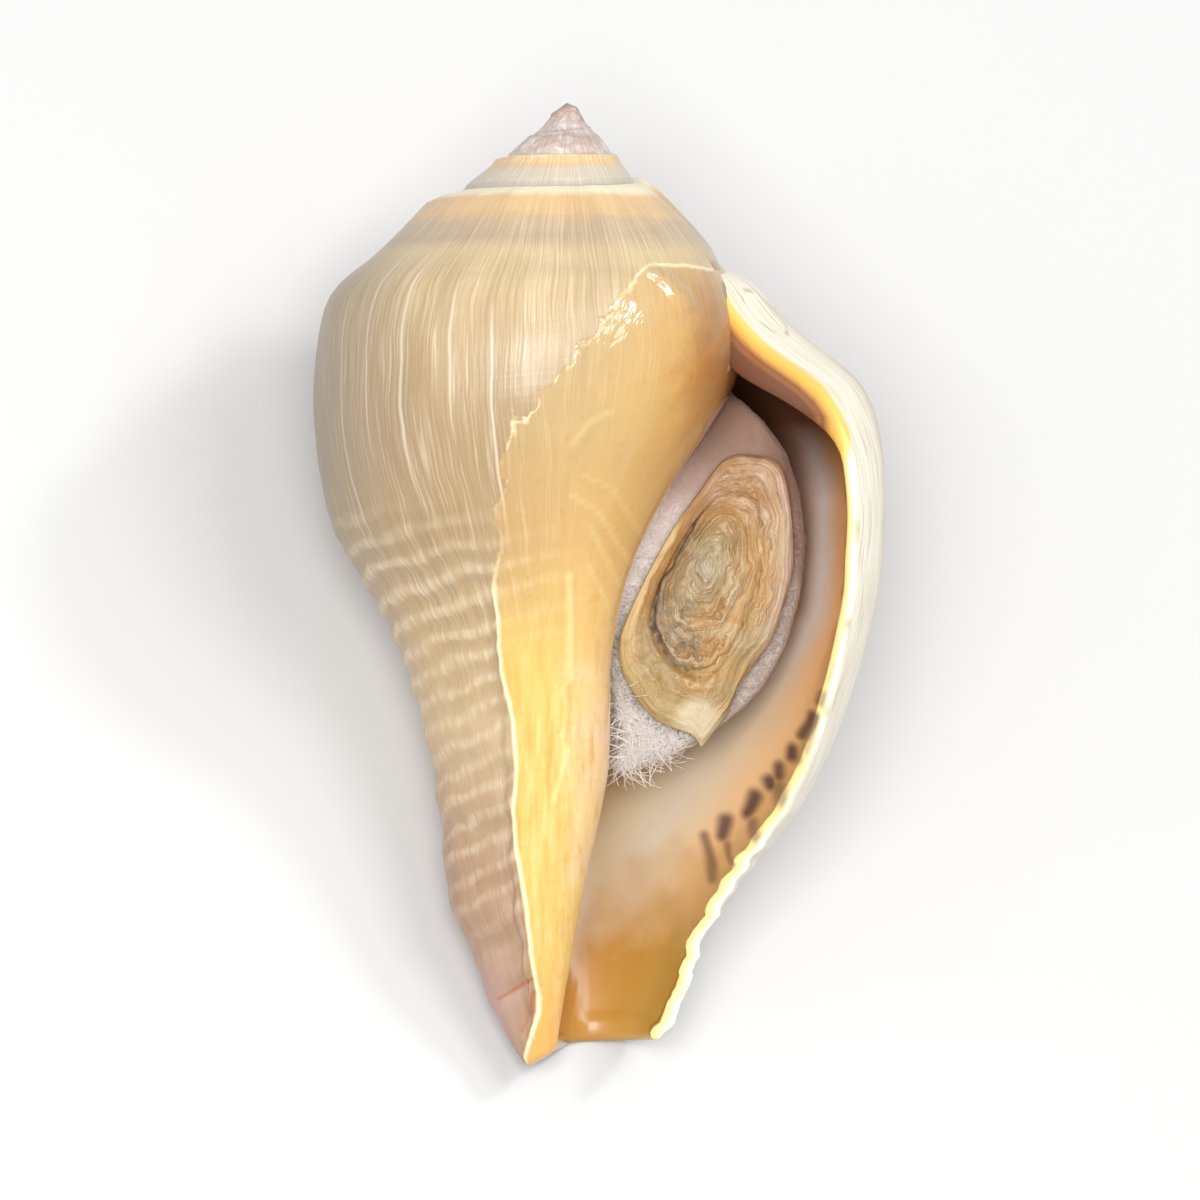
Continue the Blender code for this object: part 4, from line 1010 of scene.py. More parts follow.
# %% The wad's mesh
def wad_mesh():
    """The wad as loops from its face to its far end, in mm in the shell's frame."""
    loops = [(0.0, size) for size in (0.04, *WAD_FACE)]
    loops += [(share, 1.0) for share in WAD_WAY]
    loops += [(1.0, size) for size in (0.8, 0.4, 0.04)]
    turn = 2 * math.pi * np.arange(WAD_SIDES) / WAD_SIDES
    across = np.sign(np.cos(turn)) * np.abs(np.cos(turn)) ** WAD_SQUARE[0]
    down = np.sign(np.sin(turn)) * np.abs(np.sin(turn)) ** WAD_SQUARE[1]
    points = [wad_point(share, a * size, b * size) for share, size in loops for a, b in zip(across, down)]
    ids = np.arange(len(points)).reshape(len(loops), WAD_SIDES)
    after = np.roll(ids, -1, axis=1)
    faces = np.stack([ids[:-1], after[:-1], after[1:], ids[1:]], 2).reshape(-1, 4).tolist()
    faces += [ids[0][::-1].tolist(), ids[-1].tolist()]
    mesh = bpy.data.meshes.new("cotton_wad")
    mesh.from_pydata((np.array(points) * MM).tolist(), [], faces)
    keep(mesh, "home", "FLOAT_VECTOR", "POINT", np.array(points) * (1.0, -1.0, 1.0))
    face = np.repeat([1.0 - ease(0.0, 0.1, share) for share, size in loops], WAD_SIDES)
    x, depth = np.array(points)[:, 0], -np.array(points)[:, 1]
    loose = ease(*LOOSE_DOWN, depth) * (1.0 - ease(*LOOSE_LEFT, x))
    keep(mesh, "loose", "FLOAT", "POINT", face * loose * ~behind_plate(x, depth))
    return mesh


# %% The wad's tree
def wad_tree():
    """The tree that makes the body of the wad lumpy and lays it down."""
    tree, given = new_tree("lump the wad", LAID + [
        ("Lump height", "NodeSocketFloat", 0.9), ("Finish", "NodeSocketMaterial", None)])
    place = add(tree, KEPT, "home", data_type="FLOAT_VECTOR")
    lumps = add(tree, NOISE, place, 0.45, 4.0, 0.6)
    height = add(tree, "*", add(tree, "-", lumps, 0.62), given["Lump height"])
    offset = add(tree, VECTOR, add(tree, "GeometryNodeInputNormal"), add(tree, "*", height, MM),
                 operation="SCALE")
    raised = add(tree, "GeometryNodeSetPosition", given["Geometry"], None, None, offset)
    laid = lay_down_nodes(tree, raised, given)
    finish_tree(tree, laid, given["Finish"])
    return tree


wad = bpy.data.objects.new("cotton_body", wad_mesh())
bpy.context.scene.collection.objects.link(wad)
print("wad:", len(wad.data.polygons), "faces")


# %% [markdown]
# ## The shell's finish
# A seashell is calcite that was laid down line by line. Outside it is dry and satin, tan with pale and
# dark growth lines, and its colour bands follow the suture; the body whorl is darkened towards its left
# outline as painted shade, and the crests of its cords are partly a painted highlight. In front of the
# mouth the animal spread a glossy golden film, which thickens to the callus on the columella; near the
# lip the film is browner, partly its own colour and partly painted shade, and its raised ridges carry a
# painted highlight. Inside, the enamel goes from a yellow rim through orange and a painted grey sheen
# to brown, darkened as painted shade beneath the top of the lip. Most of it is painted by growth: the
# age of each line, the way down from the suture and the way in from the lip are numbers that the mesh
# carries.

# %% A new material
def new_finish(name, roughness, **constants):
    """A material, its tree and its shader, with what is the same all over set on the shader."""
    made = bpy.data.materials.new(name)
    made.use_nodes = True
    surface = made.node_tree.nodes["Principled BSDF"]
    surface.inputs["Roughness"].default_value = roughness
    for label, value in constants.items():
        surface.inputs[label.replace("_", " ")].default_value = value
    return made, made.node_tree, surface


# %% Growth lines
# Strong pale lines seen on the body whorl: age and half width in degrees, top and foot depth in mm
STRONG_LINES = [(-226.5, 0.45, 17.0, 40.0), (-241.0, 0.3, 19.0, 34.0), (-252.0, 0.35, 22.0, 44.0),
                (-214.0, 0.3, 16.0, 36.0), (-203.0, 0.35, 20.0, 46.0)]
# Noise steps to a degree of growth and to a mm of depth, and a seed: where the shell is widest a degree
# is half a millimetre, so fine lines come every 0.4 mm, stronger ones every 1.3 mm and zones every 9 mm
LINE_NOISE = [(1.4, 0.13, 0.0), (0.4, 0.06, 5.0), (0.06, 0.03, 9.0)]


def growth_lines(tree, age, depth, place):
    """Fine pale lines, fine dark lines and broad zones along the lip's edge, each from 0 to 1."""
    wander = add(tree, NOISE, place, 0.09, 2.5, 0.45)
    wander = add(tree, "*", add(tree, "-", wander, 0.5), 5.0)
    line = add(tree, "+", age, wander)
    fine, medium, broad = [
        add(tree, NOISE, add(tree, COMBINE, add(tree, "*", line, across), add(tree, "*", depth, down), seed),
            1.0, 3.0, 0.55) for across, down, seed in LINE_NOISE]
    pale = add(tree, "*", add(tree, RANGE, fine, 0.46, 0.72, 0.0, 1.0),
               add(tree, RANGE, medium, 0.42, 0.64, 0.12, 1.0))
    for centre, half, top, foot in STRONG_LINES:
        apart = add(tree, "abs", add(tree, "-", line, centre))
        strong = add(tree, RANGE, apart, 0.4 * half, 1.8 * half, 1.0, 0.0)
        above = add(tree, RANGE, depth, top - 2.0, top + 2.0, 0.0, 1.0)
        below = add(tree, RANGE, depth, foot - 5.0, foot + 2.0, 1.0, 0.0)
        strong = add(tree, "*", strong, add(tree, "*", above, below))
        pale = add(tree, "max", pale, strong)
    dark = add(tree, RANGE, fine, 0.5, 0.36, 0.0, 1.0)
    return pale, dark, broad, medium, fine


# %% Outside of the shell
def outside_colour(tree, grow, wall, x, depth, place):
    """The dry outside, from the apex to the tip and to the lip's white edge."""
    age, below, share = grow
    from_lip, _, grown = wall
    pale, dark, broad, medium, fine = growth_lines(tree, age, depth, place)

    # The body whorl from the suture down: cream, orange-tan, grey-mauve, then tan, greyer on the base
    uneven = add(tree, NOISE, place, 0.16, 4.0, 0.6)
    reach = add(tree, "+", below, add(tree, "*", uneven, 3.0))
    body = add(tree, RAMP, add(tree, RANGE, reach, 0.0, 80.0, 0.0, 1.0), stops=[
        (0.0, "#faf7e2"), (1.0, "#b09078"), (0.04, "#f8f4dc"), (0.052, "#e2c498"), (0.086, "#dabd92"),
        (0.102, "#c4b198"), (0.13, "#bdae98"), (0.152, "#cdbd9a"), (0.22, "#c4b08e"), (0.34, "#b29c7b"),
        (0.46, "#af9774"), (0.55, "#b49c78"), (0.66, "#bda681"), (0.8, "#c8b290"), (0.9, "#b79c80")])
    zone = add(tree, RAMP, broad, stops=[(0.3, "#dcd0c2"), (0.7, "#fff6e8"), (0.5, "#f4e9d8")])
    body = add(tree, COLOUR, 0.8, body, zone, blend_type="MULTIPLY")
    calm = add(tree, "*", add(tree, RANGE, below, 3.0, 9.0, 0.3, 1.0),
               add(tree, RANGE, depth, 46.0, 60.0, 1.0, 0.4))
    dim = add(tree, "*", add(tree, "*", dark, 0.32), calm)
    body = add(tree, COLOUR, dim, body, "#98805f")
    bright = add(tree, "*", add(tree, "*", pale, 0.5), calm)
    body = add(tree, COLOUR, bright, body, "#f6ecd6")
    old_side = add(tree, RANGE, age, *OLD_SIDE, 1.0, 0.0)
    patchy = add(tree, "*", add(tree, RANGE, medium, 0.4, 0.6, 0.3, 1.0), old_side)
    cords = add(tree, "*", cord_wave(tree, age, depth), patchy)
    # The body whorl darkens towards its left outline: painted shade.
    left = add(tree, RANGE, x, -14.0, -24.5, 0.0, 0.7)
    body = add(tree, COLOUR, left, body, "#7d7163")
    turning = add(tree, COMBINE, add(tree, "*", age, 0.02), add(tree, "*", below, 0.4), 2.0)
    turning = add(tree, NOISE, turning, 1.0, 3.0, 0.5)
    veil = add(tree, "*", add(tree, RANGE, turning, 0.46, 0.7, 0.0, 0.3),
               add(tree, RANGE, below, 2.5, 5.0, 0.0, 1.0))
    veil = add(tree, "*", veil, add(tree, RANGE, below, 12.0, 22.0, 1.0, 0.35))
    body = add(tree, COLOUR, veil, body, "#a48f7c")
    # Cord crests are paler: partly the cords' own pale colour, partly a painted highlight.
    crest = add(tree, RANGE, cords, -0.05, 0.9, 0.0, add(tree, RANGE, depth, 54.0, 62.0, 0.4, 0.55))
    body = add(tree, COLOUR, crest, body, "#ecdcc0")
    trough = add(tree, RANGE, cords, -0.2, -0.9, 0.0, 0.3)
    body = add(tree, COLOUR, trough, body, "#9c8266")

    # The spire, its bands a share of each whorl's height
    spread = add(tree, "+", share, add(tree, "*", uneven, 0.3))
    whorl = add(tree, RAMP, spread, stops=[
        (0.0, "#f6f1d4"), (1.0, "#bfb5a6"), (0.22, "#f2ebcc"), (0.3, "#e2bf8c"), (0.5, "#dabb90"),
        (0.66, "#d0c4b0"), (0.95, "#c9bfae")])
    blotch = add(tree, NOISE, place, 0.85, 4.0, 0.6, 2.0, 0.5)
    old = add(tree, RAMP, blotch, stops=[
        (0.34, "#a3877a"), (0.66, "#f8f4f2"), (0.45, "#b8a094"), (0.54, "#d2c2bb")])
    tip = add(tree, RAMP, add(tree, RANGE, depth, 0.0, 5.0, 0.0, 1.0), stops=[
        (0.0, "#a87f66"), (1.0, "#d3c3b8"), (0.3, "#a08272"), (0.45, "#dcd0cc"), (0.7, "#b9a496")])
    old = add(tree, COLOUR, 0.5, old, tip)
    whorl = add(tree, COLOUR, add(tree, RANGE, grown, -735.0, -700.0, 1.0, 0.0), whorl, old)
    whorl = add(tree, COLOUR, add(tree, "*", dark, 0.3), whorl, "#75655a")
    whorl = add(tree, COLOUR, add(tree, "*", pale, 0.6), whorl, "#efe6d2")
    colour = add(tree, COLOUR, add(tree, RANGE, grown, -366.0, -354.0, 0.0, 1.0), whorl, body)

    # The lilac bulge of old growth ends at the tip, and the newest shell at the lip is white
    lilac = add(tree, "*", add(tree, RANGE, depth, 84.0, 88.0, 0.0, 0.65),
                add(tree, RANGE, x, -2.0, -4.5, 0.0, 1.0))
    colour = add(tree, COLOUR, lilac, colour, "#b8948a")
    edge = add(tree, "+", from_lip, add(tree, "*", medium, 3.0))
    edge = add(tree, RANGE, edge, 9.0, 17.0, 1.0, 0.0)
    edge = add(tree, "*", edge, add(tree, RANGE, grown, -50.0, -30.0, 0.0, 0.95))
    lip = add(tree, RAMP, fine, stops=[(0.34, "#cfc3a6"), (0.58, "#f3eedf"), (0.44, "#e9e0c8")])
    colour = add(tree, COLOUR, edge, colour, lip)
    return colour, fine, medium


# %% Film and callus
def film_colour(tree, x, depth, place):
    """The golden film in front of the mouth and the callus below it, over x and depth."""
    cloud = add(tree, NOISE, place, 0.22, 4.0, 0.6)
    bend = add(tree, "*", add(tree, "-", cloud, 0.5), 9.0)
    over = add(tree, "+", x, bend)
    down = add(tree, "+", depth, bend)
    # Towards the lip the top of the film turns brown where it bends into the mouth: partly its own colour,
    # partly painted shade.
    upper_film_and_shade = add(tree, RAMP, add(tree, RANGE, over, -8.0, 22.0, 0.0, 1.0), stops=[
        (0.0, "#c9b07f"), (1.0, "#8e5a2d"), (0.25, "#ccb07a"), (0.5, "#cdaa6e"), (0.62, "#c89d5c"),
        (0.72, "#b07c44"), (0.82, "#9c6a3a")])
    warm = add(tree, RAMP, add(tree, RANGE, down, 30.0, 60.0, 0.0, 1.0), stops=[
        (0.0, "#cfac72"), (1.0, "#dfba66"), (0.25, "#d2ab70"), (0.5, "#d8b070"), (0.75, "#dcb464")])
    callus = add(tree, RAMP, add(tree, RANGE, over, -6.0, 6.0, 0.0, 1.0), stops=[
        (0.0, "#d8b062"), (1.0, "#e8cba6"), (0.28, "#e0bd6c"), (0.55, "#dfba6c"), (0.74, "#e6c48c")])
    brushed = add(tree, NOISE, add(tree, COMBINE, add(tree, "*", x, 1.1), add(tree, "*", depth, 0.13), 0.0),
                  1.0, 4.0, 0.6)
    callus = add(tree, COLOUR, add(tree, RANGE, brushed, 0.5, 0.7, 0.0, 0.5), callus, "#f0dc9e")
    callus = add(tree, COLOUR, add(tree, RANGE, brushed, 0.48, 0.3, 0.0, 0.6), callus, "#cf9744")
    end = add(tree, RANGE, depth, 84.0, 93.0, 0.0, 0.75)
    callus = add(tree, COLOUR, end, callus, "#e2a558")
    colour = add(tree, COLOUR, add(tree, RANGE, down, 28.0, 40.0, 0.0, 1.0), upper_film_and_shade, warm)
    colour = add(tree, COLOUR, add(tree, RANGE, down, 44.0, 64.0, 0.0, 1.0), colour, callus)
    fleck = add(tree, RANGE, add(tree, NOISE, place, 0.9, 5.0, 0.65), 0.55, 0.75, 0.0, 0.3)
    return add(tree, COLOUR, fleck, colour, "#b9873f")


# %% Enamel inside the lip
def marks(tree, place, strokes):
    """Strokes on the shell as one number from 0 to 1, with soft, slightly wandering edges."""
    x, depth = add(tree, SEPARATE, place, out=None)[:2]
    wobble = add(tree, NOISE, add(tree, COMBINE, x, depth, 0.0), 0.35, 0.0)
    wobble = add(tree, "*", add(tree, "-", wobble, 0.5), 0.9)
    here = add(tree, COMBINE, add(tree, "+", x, wobble), depth, 0.0)
    whole = 0.0
    for start, stop, half, strength in strokes:
        start, stop = Vector((*start, 0.0)), Vector((*stop, 0.0))
        way = (stop - start).normalized()
        from_start = add(tree, VECTOR, here, start, operation="SUBTRACT")
        along = add(tree, VECTOR, from_start, way, operation="DOT_PRODUCT", out=-1)
        along = add(tree, RANGE, along, 0.0, (stop - start).length, 0.0, (stop - start).length)
        nearest = add(tree, VECTOR, way, along, operation="SCALE")
        apart = add(tree, VECTOR, from_start, nearest, operation="DISTANCE", out=-1)
        mark = add(tree, RANGE, apart, 0.2 * half, 2.4 * half, strength, 0.0,
                   interpolation_type="SMOOTHSTEP")
        whole = add(tree, "max", whole, mark)
    return whole


def inside_colour(tree, depth, place, edge_in):
    """From the yellow rim inwards: orange, a painted grey sheen, brown, darkened as painted shade beneath the
    lip's top; golden in the canal; brown stains.
    """
    cloud = add(tree, NOISE, place, 0.3, 3.0, 0.5)
    away = add(tree, "abs", add(tree, MEMORY, attribute_name="rim", out=2))
    away = add(tree, "+", away, add(tree, "-", cloud, 0.5))
    # The pale grey band of the high and low ramps, placed by sheen_at, is a painted sheen: a reflection
    # painted into the enamel's colour.
    sheen_at = add(tree, RANGE, depth, 49.0, 67.0, 2.6, 9.0, interpolation_type="SMOOTHSTEP")
    reach = add(tree, "/", away, sheen_at)
    high = add(tree, RAMP, add(tree, RANGE, reach, 0.0, 3.0, 0.0, 1.0), stops=[
        (0.0, "#c47c44"), (1.0, "#7d5848"), (0.05, "#b8743e"), (0.1, "#f8b878"), (0.18, "#fcc490"),
        (0.26, "#fbdcc2"), (0.35, "#f8eae2"), (0.45, "#eed6c8"), (0.58, "#cea892"), (0.8, "#a27a68")])
    # Beneath the top of the lip the enamel is its own brown, darkened further as painted shade; top picks
    # where it shows.
    beneath_lip_brown_and_shade = add(tree, RAMP, add(tree, RANGE, reach, 0.0, 3.0, 0.0, 1.0), stops=[
        (0.0, "#a8642c"), (1.0, "#58382a"), (0.1, "#7c4520"), (0.25, "#6c3c1e"), (0.6, "#6c4028")])
    top = add(tree, "*", add(tree, RANGE, depth, 31.0, 39.0, 0.97, 0.0),
              add(tree, RANGE, reach, 0.05, 0.3, 0.0, 1.0))
    high = add(tree, COLOUR, top, high, beneath_lip_brown_and_shade)
    low = add(tree, RAMP, add(tree, RANGE, reach, 0.0, 3.0, 0.0, 1.0), stops=[
        (0.0, "#e6b870"), (1.0, "#c2a070"), (0.06, "#f0c084"), (0.14, "#f2c898"), (0.22, "#e4cba8"),
        (0.32, "#d2c4ae"), (0.43, "#ccba9c"), (0.55, "#ceb48c"), (0.7, "#cca878")])
    canal = add(tree, RAMP, add(tree, RANGE, away, 0.0, 14.0, 0.0, 1.0), stops=[
        (0.0, "#dcb064"), (1.0, "#d8b88a"), (0.12, "#bd9648"), (0.4, "#bb8a40"), (0.8, "#b07c38")])
    colour = add(tree, COLOUR, add(tree, RANGE, depth, 46.0, 62.0, 0.0, 1.0), high, low)
    turn = add(tree, "+", depth, add(tree, "*", cloud, 8.0))
    colour = add(tree, COLOUR, add(tree, RANGE, turn, 76.0, 90.0, 0.0, 1.0), colour, canal)
    rim = add(tree, RAMP, add(tree, RANGE, edge_in, 0.0, 2.4, 0.0, 1.0), stops=[
        (0.0, "#f6dc94"), (1.0, "#b9783c"), (0.2, "#eec25e"), (0.55, "#dba04a"), (0.8, "#84502a")])
    colour = add(tree, COLOUR, add(tree, RANGE, edge_in, 1.8, 2.6, 1.0, 0.0), colour, rim)
    return add(tree, COLOUR, marks(tree, place, STAINS), colour, "#55353a")


# %% [markdown]
# ### One skin, one material
# The three colourings meet on one skin, so they are mixed in one material: the film's edge is a
# distance that the mesh carries, and so is the side of the wall. Roughness follows the same mix, dry
# outside, wet-looking on the film. The bump carries what is too fine or too low for the mesh: thin
# growth lines, the spiral threads that cross them, the scar, and wrinkles and a low ridge of the film.

# %% Shell calcite
def shell_finish():
    """Calcite: satin and lined outside, glossy where the animal glazed it, silky enamel inside."""
    made, tree, surface = new_finish("shell_calcite", 0.36, Subsurface_Weight=0.08, Subsurface_Scale=0.0012,
                                     IOR=1.53)
    surface.inputs["Subsurface Radius"].default_value = (1.0, 0.6, 0.35)
    grow = add(tree, SEPARATE, add(tree, MEMORY, attribute_name="grow", out=1), out=None)
    wall = add(tree, SEPARATE, add(tree, MEMORY, attribute_name="wall", out=1), out=None)
    place = add(tree, MEMORY, attribute_name="home", out=1)
    x, depth = add(tree, SEPARATE, place, out=None)[:2]
    film = add(tree, MEMORY, attribute_name="film", out=2)

    outside, fine, medium = outside_colour(tree, grow, wall, x, depth, place)
    # The film has a ragged edge with a bright rim, and thickens towards the callus
    ragged = add(tree, NOISE, place, 0.4, 3.0, 0.55)
    ragged = add(tree, "*", add(tree, "-", ragged, 0.5), add(tree, RANGE, depth, 38.0, 50.0, 4.5, 0.4))
    ragged = add(tree, "*", ragged, add(tree, RANGE, depth, 16.5, 21.0, 0.12, 1.0))
    edge = add(tree, "+", film, ragged)
    covered = add(tree, RANGE, edge, -0.05, 0.12, 0.0, 1.0)
    thick = add(tree, "max", add(tree, RANGE, edge, 0.0, 9.0, 0.4, 0.96),
                add(tree, RANGE, depth, 38.0, 58.0, 0.0, 1.0, interpolation_type="SMOOTHSTEP"))
    low_edge = add(tree, RANGE, depth, 42.0, 50.0, 0.0, 1.0)
    golden = film_colour(tree, x, depth, place)
    rim = add(tree, "*", add(tree, RANGE, edge, 0.0, 0.2, 0.0, 1.0),
              add(tree, RANGE, edge, 0.25, 0.6, 1.0, 0.0))
    colour = add(tree, COLOUR, add(tree, "*", covered, thick), outside, golden)
    flake = add(tree, RANGE, add(tree, NOISE, place, 0.6, 2.0, 0.5), 0.48, 0.6, 0.0, 0.8)
    high_edge = add(tree, RANGE, depth, 17.5, 21.0, 0.85, 0.0)
    shown = add(tree, "max", add(tree, "max", low_edge, flake), high_edge)
    shown = add(tree, "*", shown, add(tree, RANGE, depth, 36.0, 43.0, 0.8, low_edge))
    colour = add(tree, COLOUR, add(tree, "*", rim, shown), colour, "#f8ebc6")
    # Raised strokes on the film are painted paler yellow: a painted highlight along the ridges.
    stroke = add(tree, MEMORY, attribute_name="stroke", out=2)
    light = add(tree, "*", add(tree, RANGE, stroke, 0.03, 0.14, 0.0, 0.45), covered)
    colour = add(tree, COLOUR, light, colour, "#fbe6a6")
    crease = add(tree, "*", marks(tree, place, CREASES),
                 add(tree, RANGE, grow[0], -175.0, -150.0, 0.8, 0.0))
    colour = add(tree, COLOUR, crease, colour, "#b0673a")

    # An oval scar on the lip
    (middle_x, middle_depth), (way_x, way_depth), (long_half, short_half) = SCAR
    from_middle = add(tree, VECTOR, add(tree, COMBINE, x, depth, 0.0), (middle_x, middle_depth, 0.0),
                      operation="SUBTRACT")
    long_way = (way_x / long_half, way_depth / long_half, 0.0)
    short_way = (-way_depth / short_half, way_x / short_half, 0.0)
    oval = add(tree, COMBINE, add(tree, VECTOR, from_middle, long_way, operation="DOT_PRODUCT", out=-1),
               add(tree, VECTOR, from_middle, short_way, operation="DOT_PRODUCT", out=-1), 0.0)
    oval = add(tree, "-", add(tree, VECTOR, oval, operation="LENGTH", out=-1), 1.0)
    scar = add(tree, RANGE, add(tree, "abs", oval), 0.02, 0.14, 1.0, 0.0)
    faint = add(tree, RANGE, add(tree, NOISE, place, 0.45, 1.0), 0.42, 0.58, 0.0, 0.5)
    scar = add(tree, "*", scar, add(tree, "*", add(tree, RANGE, wall[2], -20.0, -10.0, 0.0, 1.0), faint))
    colour = add(tree, COLOUR, scar, colour, "#94866e")
    # At the top of the lip its thick edge is crossed by the line where the enamel begins
    from_lip, side, grown = wall
    top_edge = add(tree, "*", add(tree, RANGE, grown, -22.0, -8.0, 0.0, 1.0),
                   add(tree, RANGE, depth, 31.0, 36.0, 1.0, 0.0))
    crossed = add(tree, MEMORY, attribute_name="rim", out=2)
    side = add(tree, MIX, top_edge, side, add(tree, RANGE, crossed, -0.9, -0.1, 0.0, 1.0),
               data_type="FLOAT")
    edge_in = add(tree, MIX, top_edge, from_lip, add(tree, "+", crossed, 0.6), data_type="FLOAT")
    enamel = inside_colour(tree, depth, place, edge_in)
    inner = add(tree, "*", add(tree, RANGE, side, 0.3, 0.55, 0.0, 1.0),
                add(tree, RANGE, depth, 16.8, 18.0, 0.0, 1.0))
    colour = add(tree, COLOUR, inner, colour, enamel)
    tree.links.new(colour, surface.inputs["Base Color"])

    # Dry and satin outside, glossy on the film, silky inside
    dry = add(tree, RANGE, medium, 0.3, 0.7, 0.3, 0.42)
    rough = add(tree, MIX, covered, dry, 0.1, data_type="FLOAT")
    rough = add(tree, MIX, wall[1], rough, 0.3, data_type="FLOAT")
    tree.links.new(rough, surface.inputs["Roughness"])

    # Spiral threads every 0.4 mm cross the growth lines where no film covers them
    threads = add(tree, "+", depth, add(tree, "*", grow[0], -0.05))
    threads = add(tree, COMBINE, add(tree, "*", threads, THREAD_NOISE), add(tree, "*", grow[0], 0.03), 0.0)
    threads = add(tree, NOISE, threads, 1.0, 2.0, 0.5)
    height = add(tree, "+", fine, add(tree, "*", threads, 0.45))
    open_face = add(tree, "-", 1.0, covered)
    open_face = add(tree, "*", open_face, add(tree, RANGE, wall[1], 0.0, 0.6, 1.0, 0.12))
    soft = add(tree, NOISE, place, 0.55, 3.0, 0.5)
    height = add(tree, "+", add(tree, "*", height, open_face), add(tree, "*", soft, 0.35))
    height = add(tree, "-", height, add(tree, "*", scar, 3.0))
    slant = add(tree, VECTOR, place, (1.0, 0.55, 0.0), operation="DOT_PRODUCT", out=-1)
    slope = add(tree, VECTOR, place, (-0.22, 0.4, 0.2), operation="DOT_PRODUCT", out=-1)
    wrinkle = add(tree, NOISE, add(tree, COMBINE, slant, slope, 0.0), 0.75, 2.0, 0.5)
    near = add(tree, VECTOR, place, WRINKLES, operation="DISTANCE", out=-1)
    wrinkle = add(tree, "*", wrinkle, add(tree, RANGE, near, 3.0, 7.5, 7.0, 0.5))
    height = add(tree, "+", height, add(tree, "*", wrinkle, covered))
    streak = add(tree, "*", marks(tree, place, STREAK), add(tree, "*", covered, 6.5))
    height = add(tree, "+", height, streak)
    bump = add(tree, "ShaderNodeBump", 0.55, 0.0001, None, height)
    tree.links.new(bump, surface.inputs["Normal"])
    return made


calcite = shell_finish()
print("shell finish:", len(calcite.node_tree.nodes), "nodes")


# %% [markdown]
# ## The operculum's finish
# The plate is horn, conchiolin, laid down in sheets like a fingernail: amber where it is thin and the
# light comes through, grey and cracked where the oldest sheets have flaked. The colour follows the same
# warped rings as the relief, so lines and steps agree, and the four sides are tinted as they are on the
# real plate.

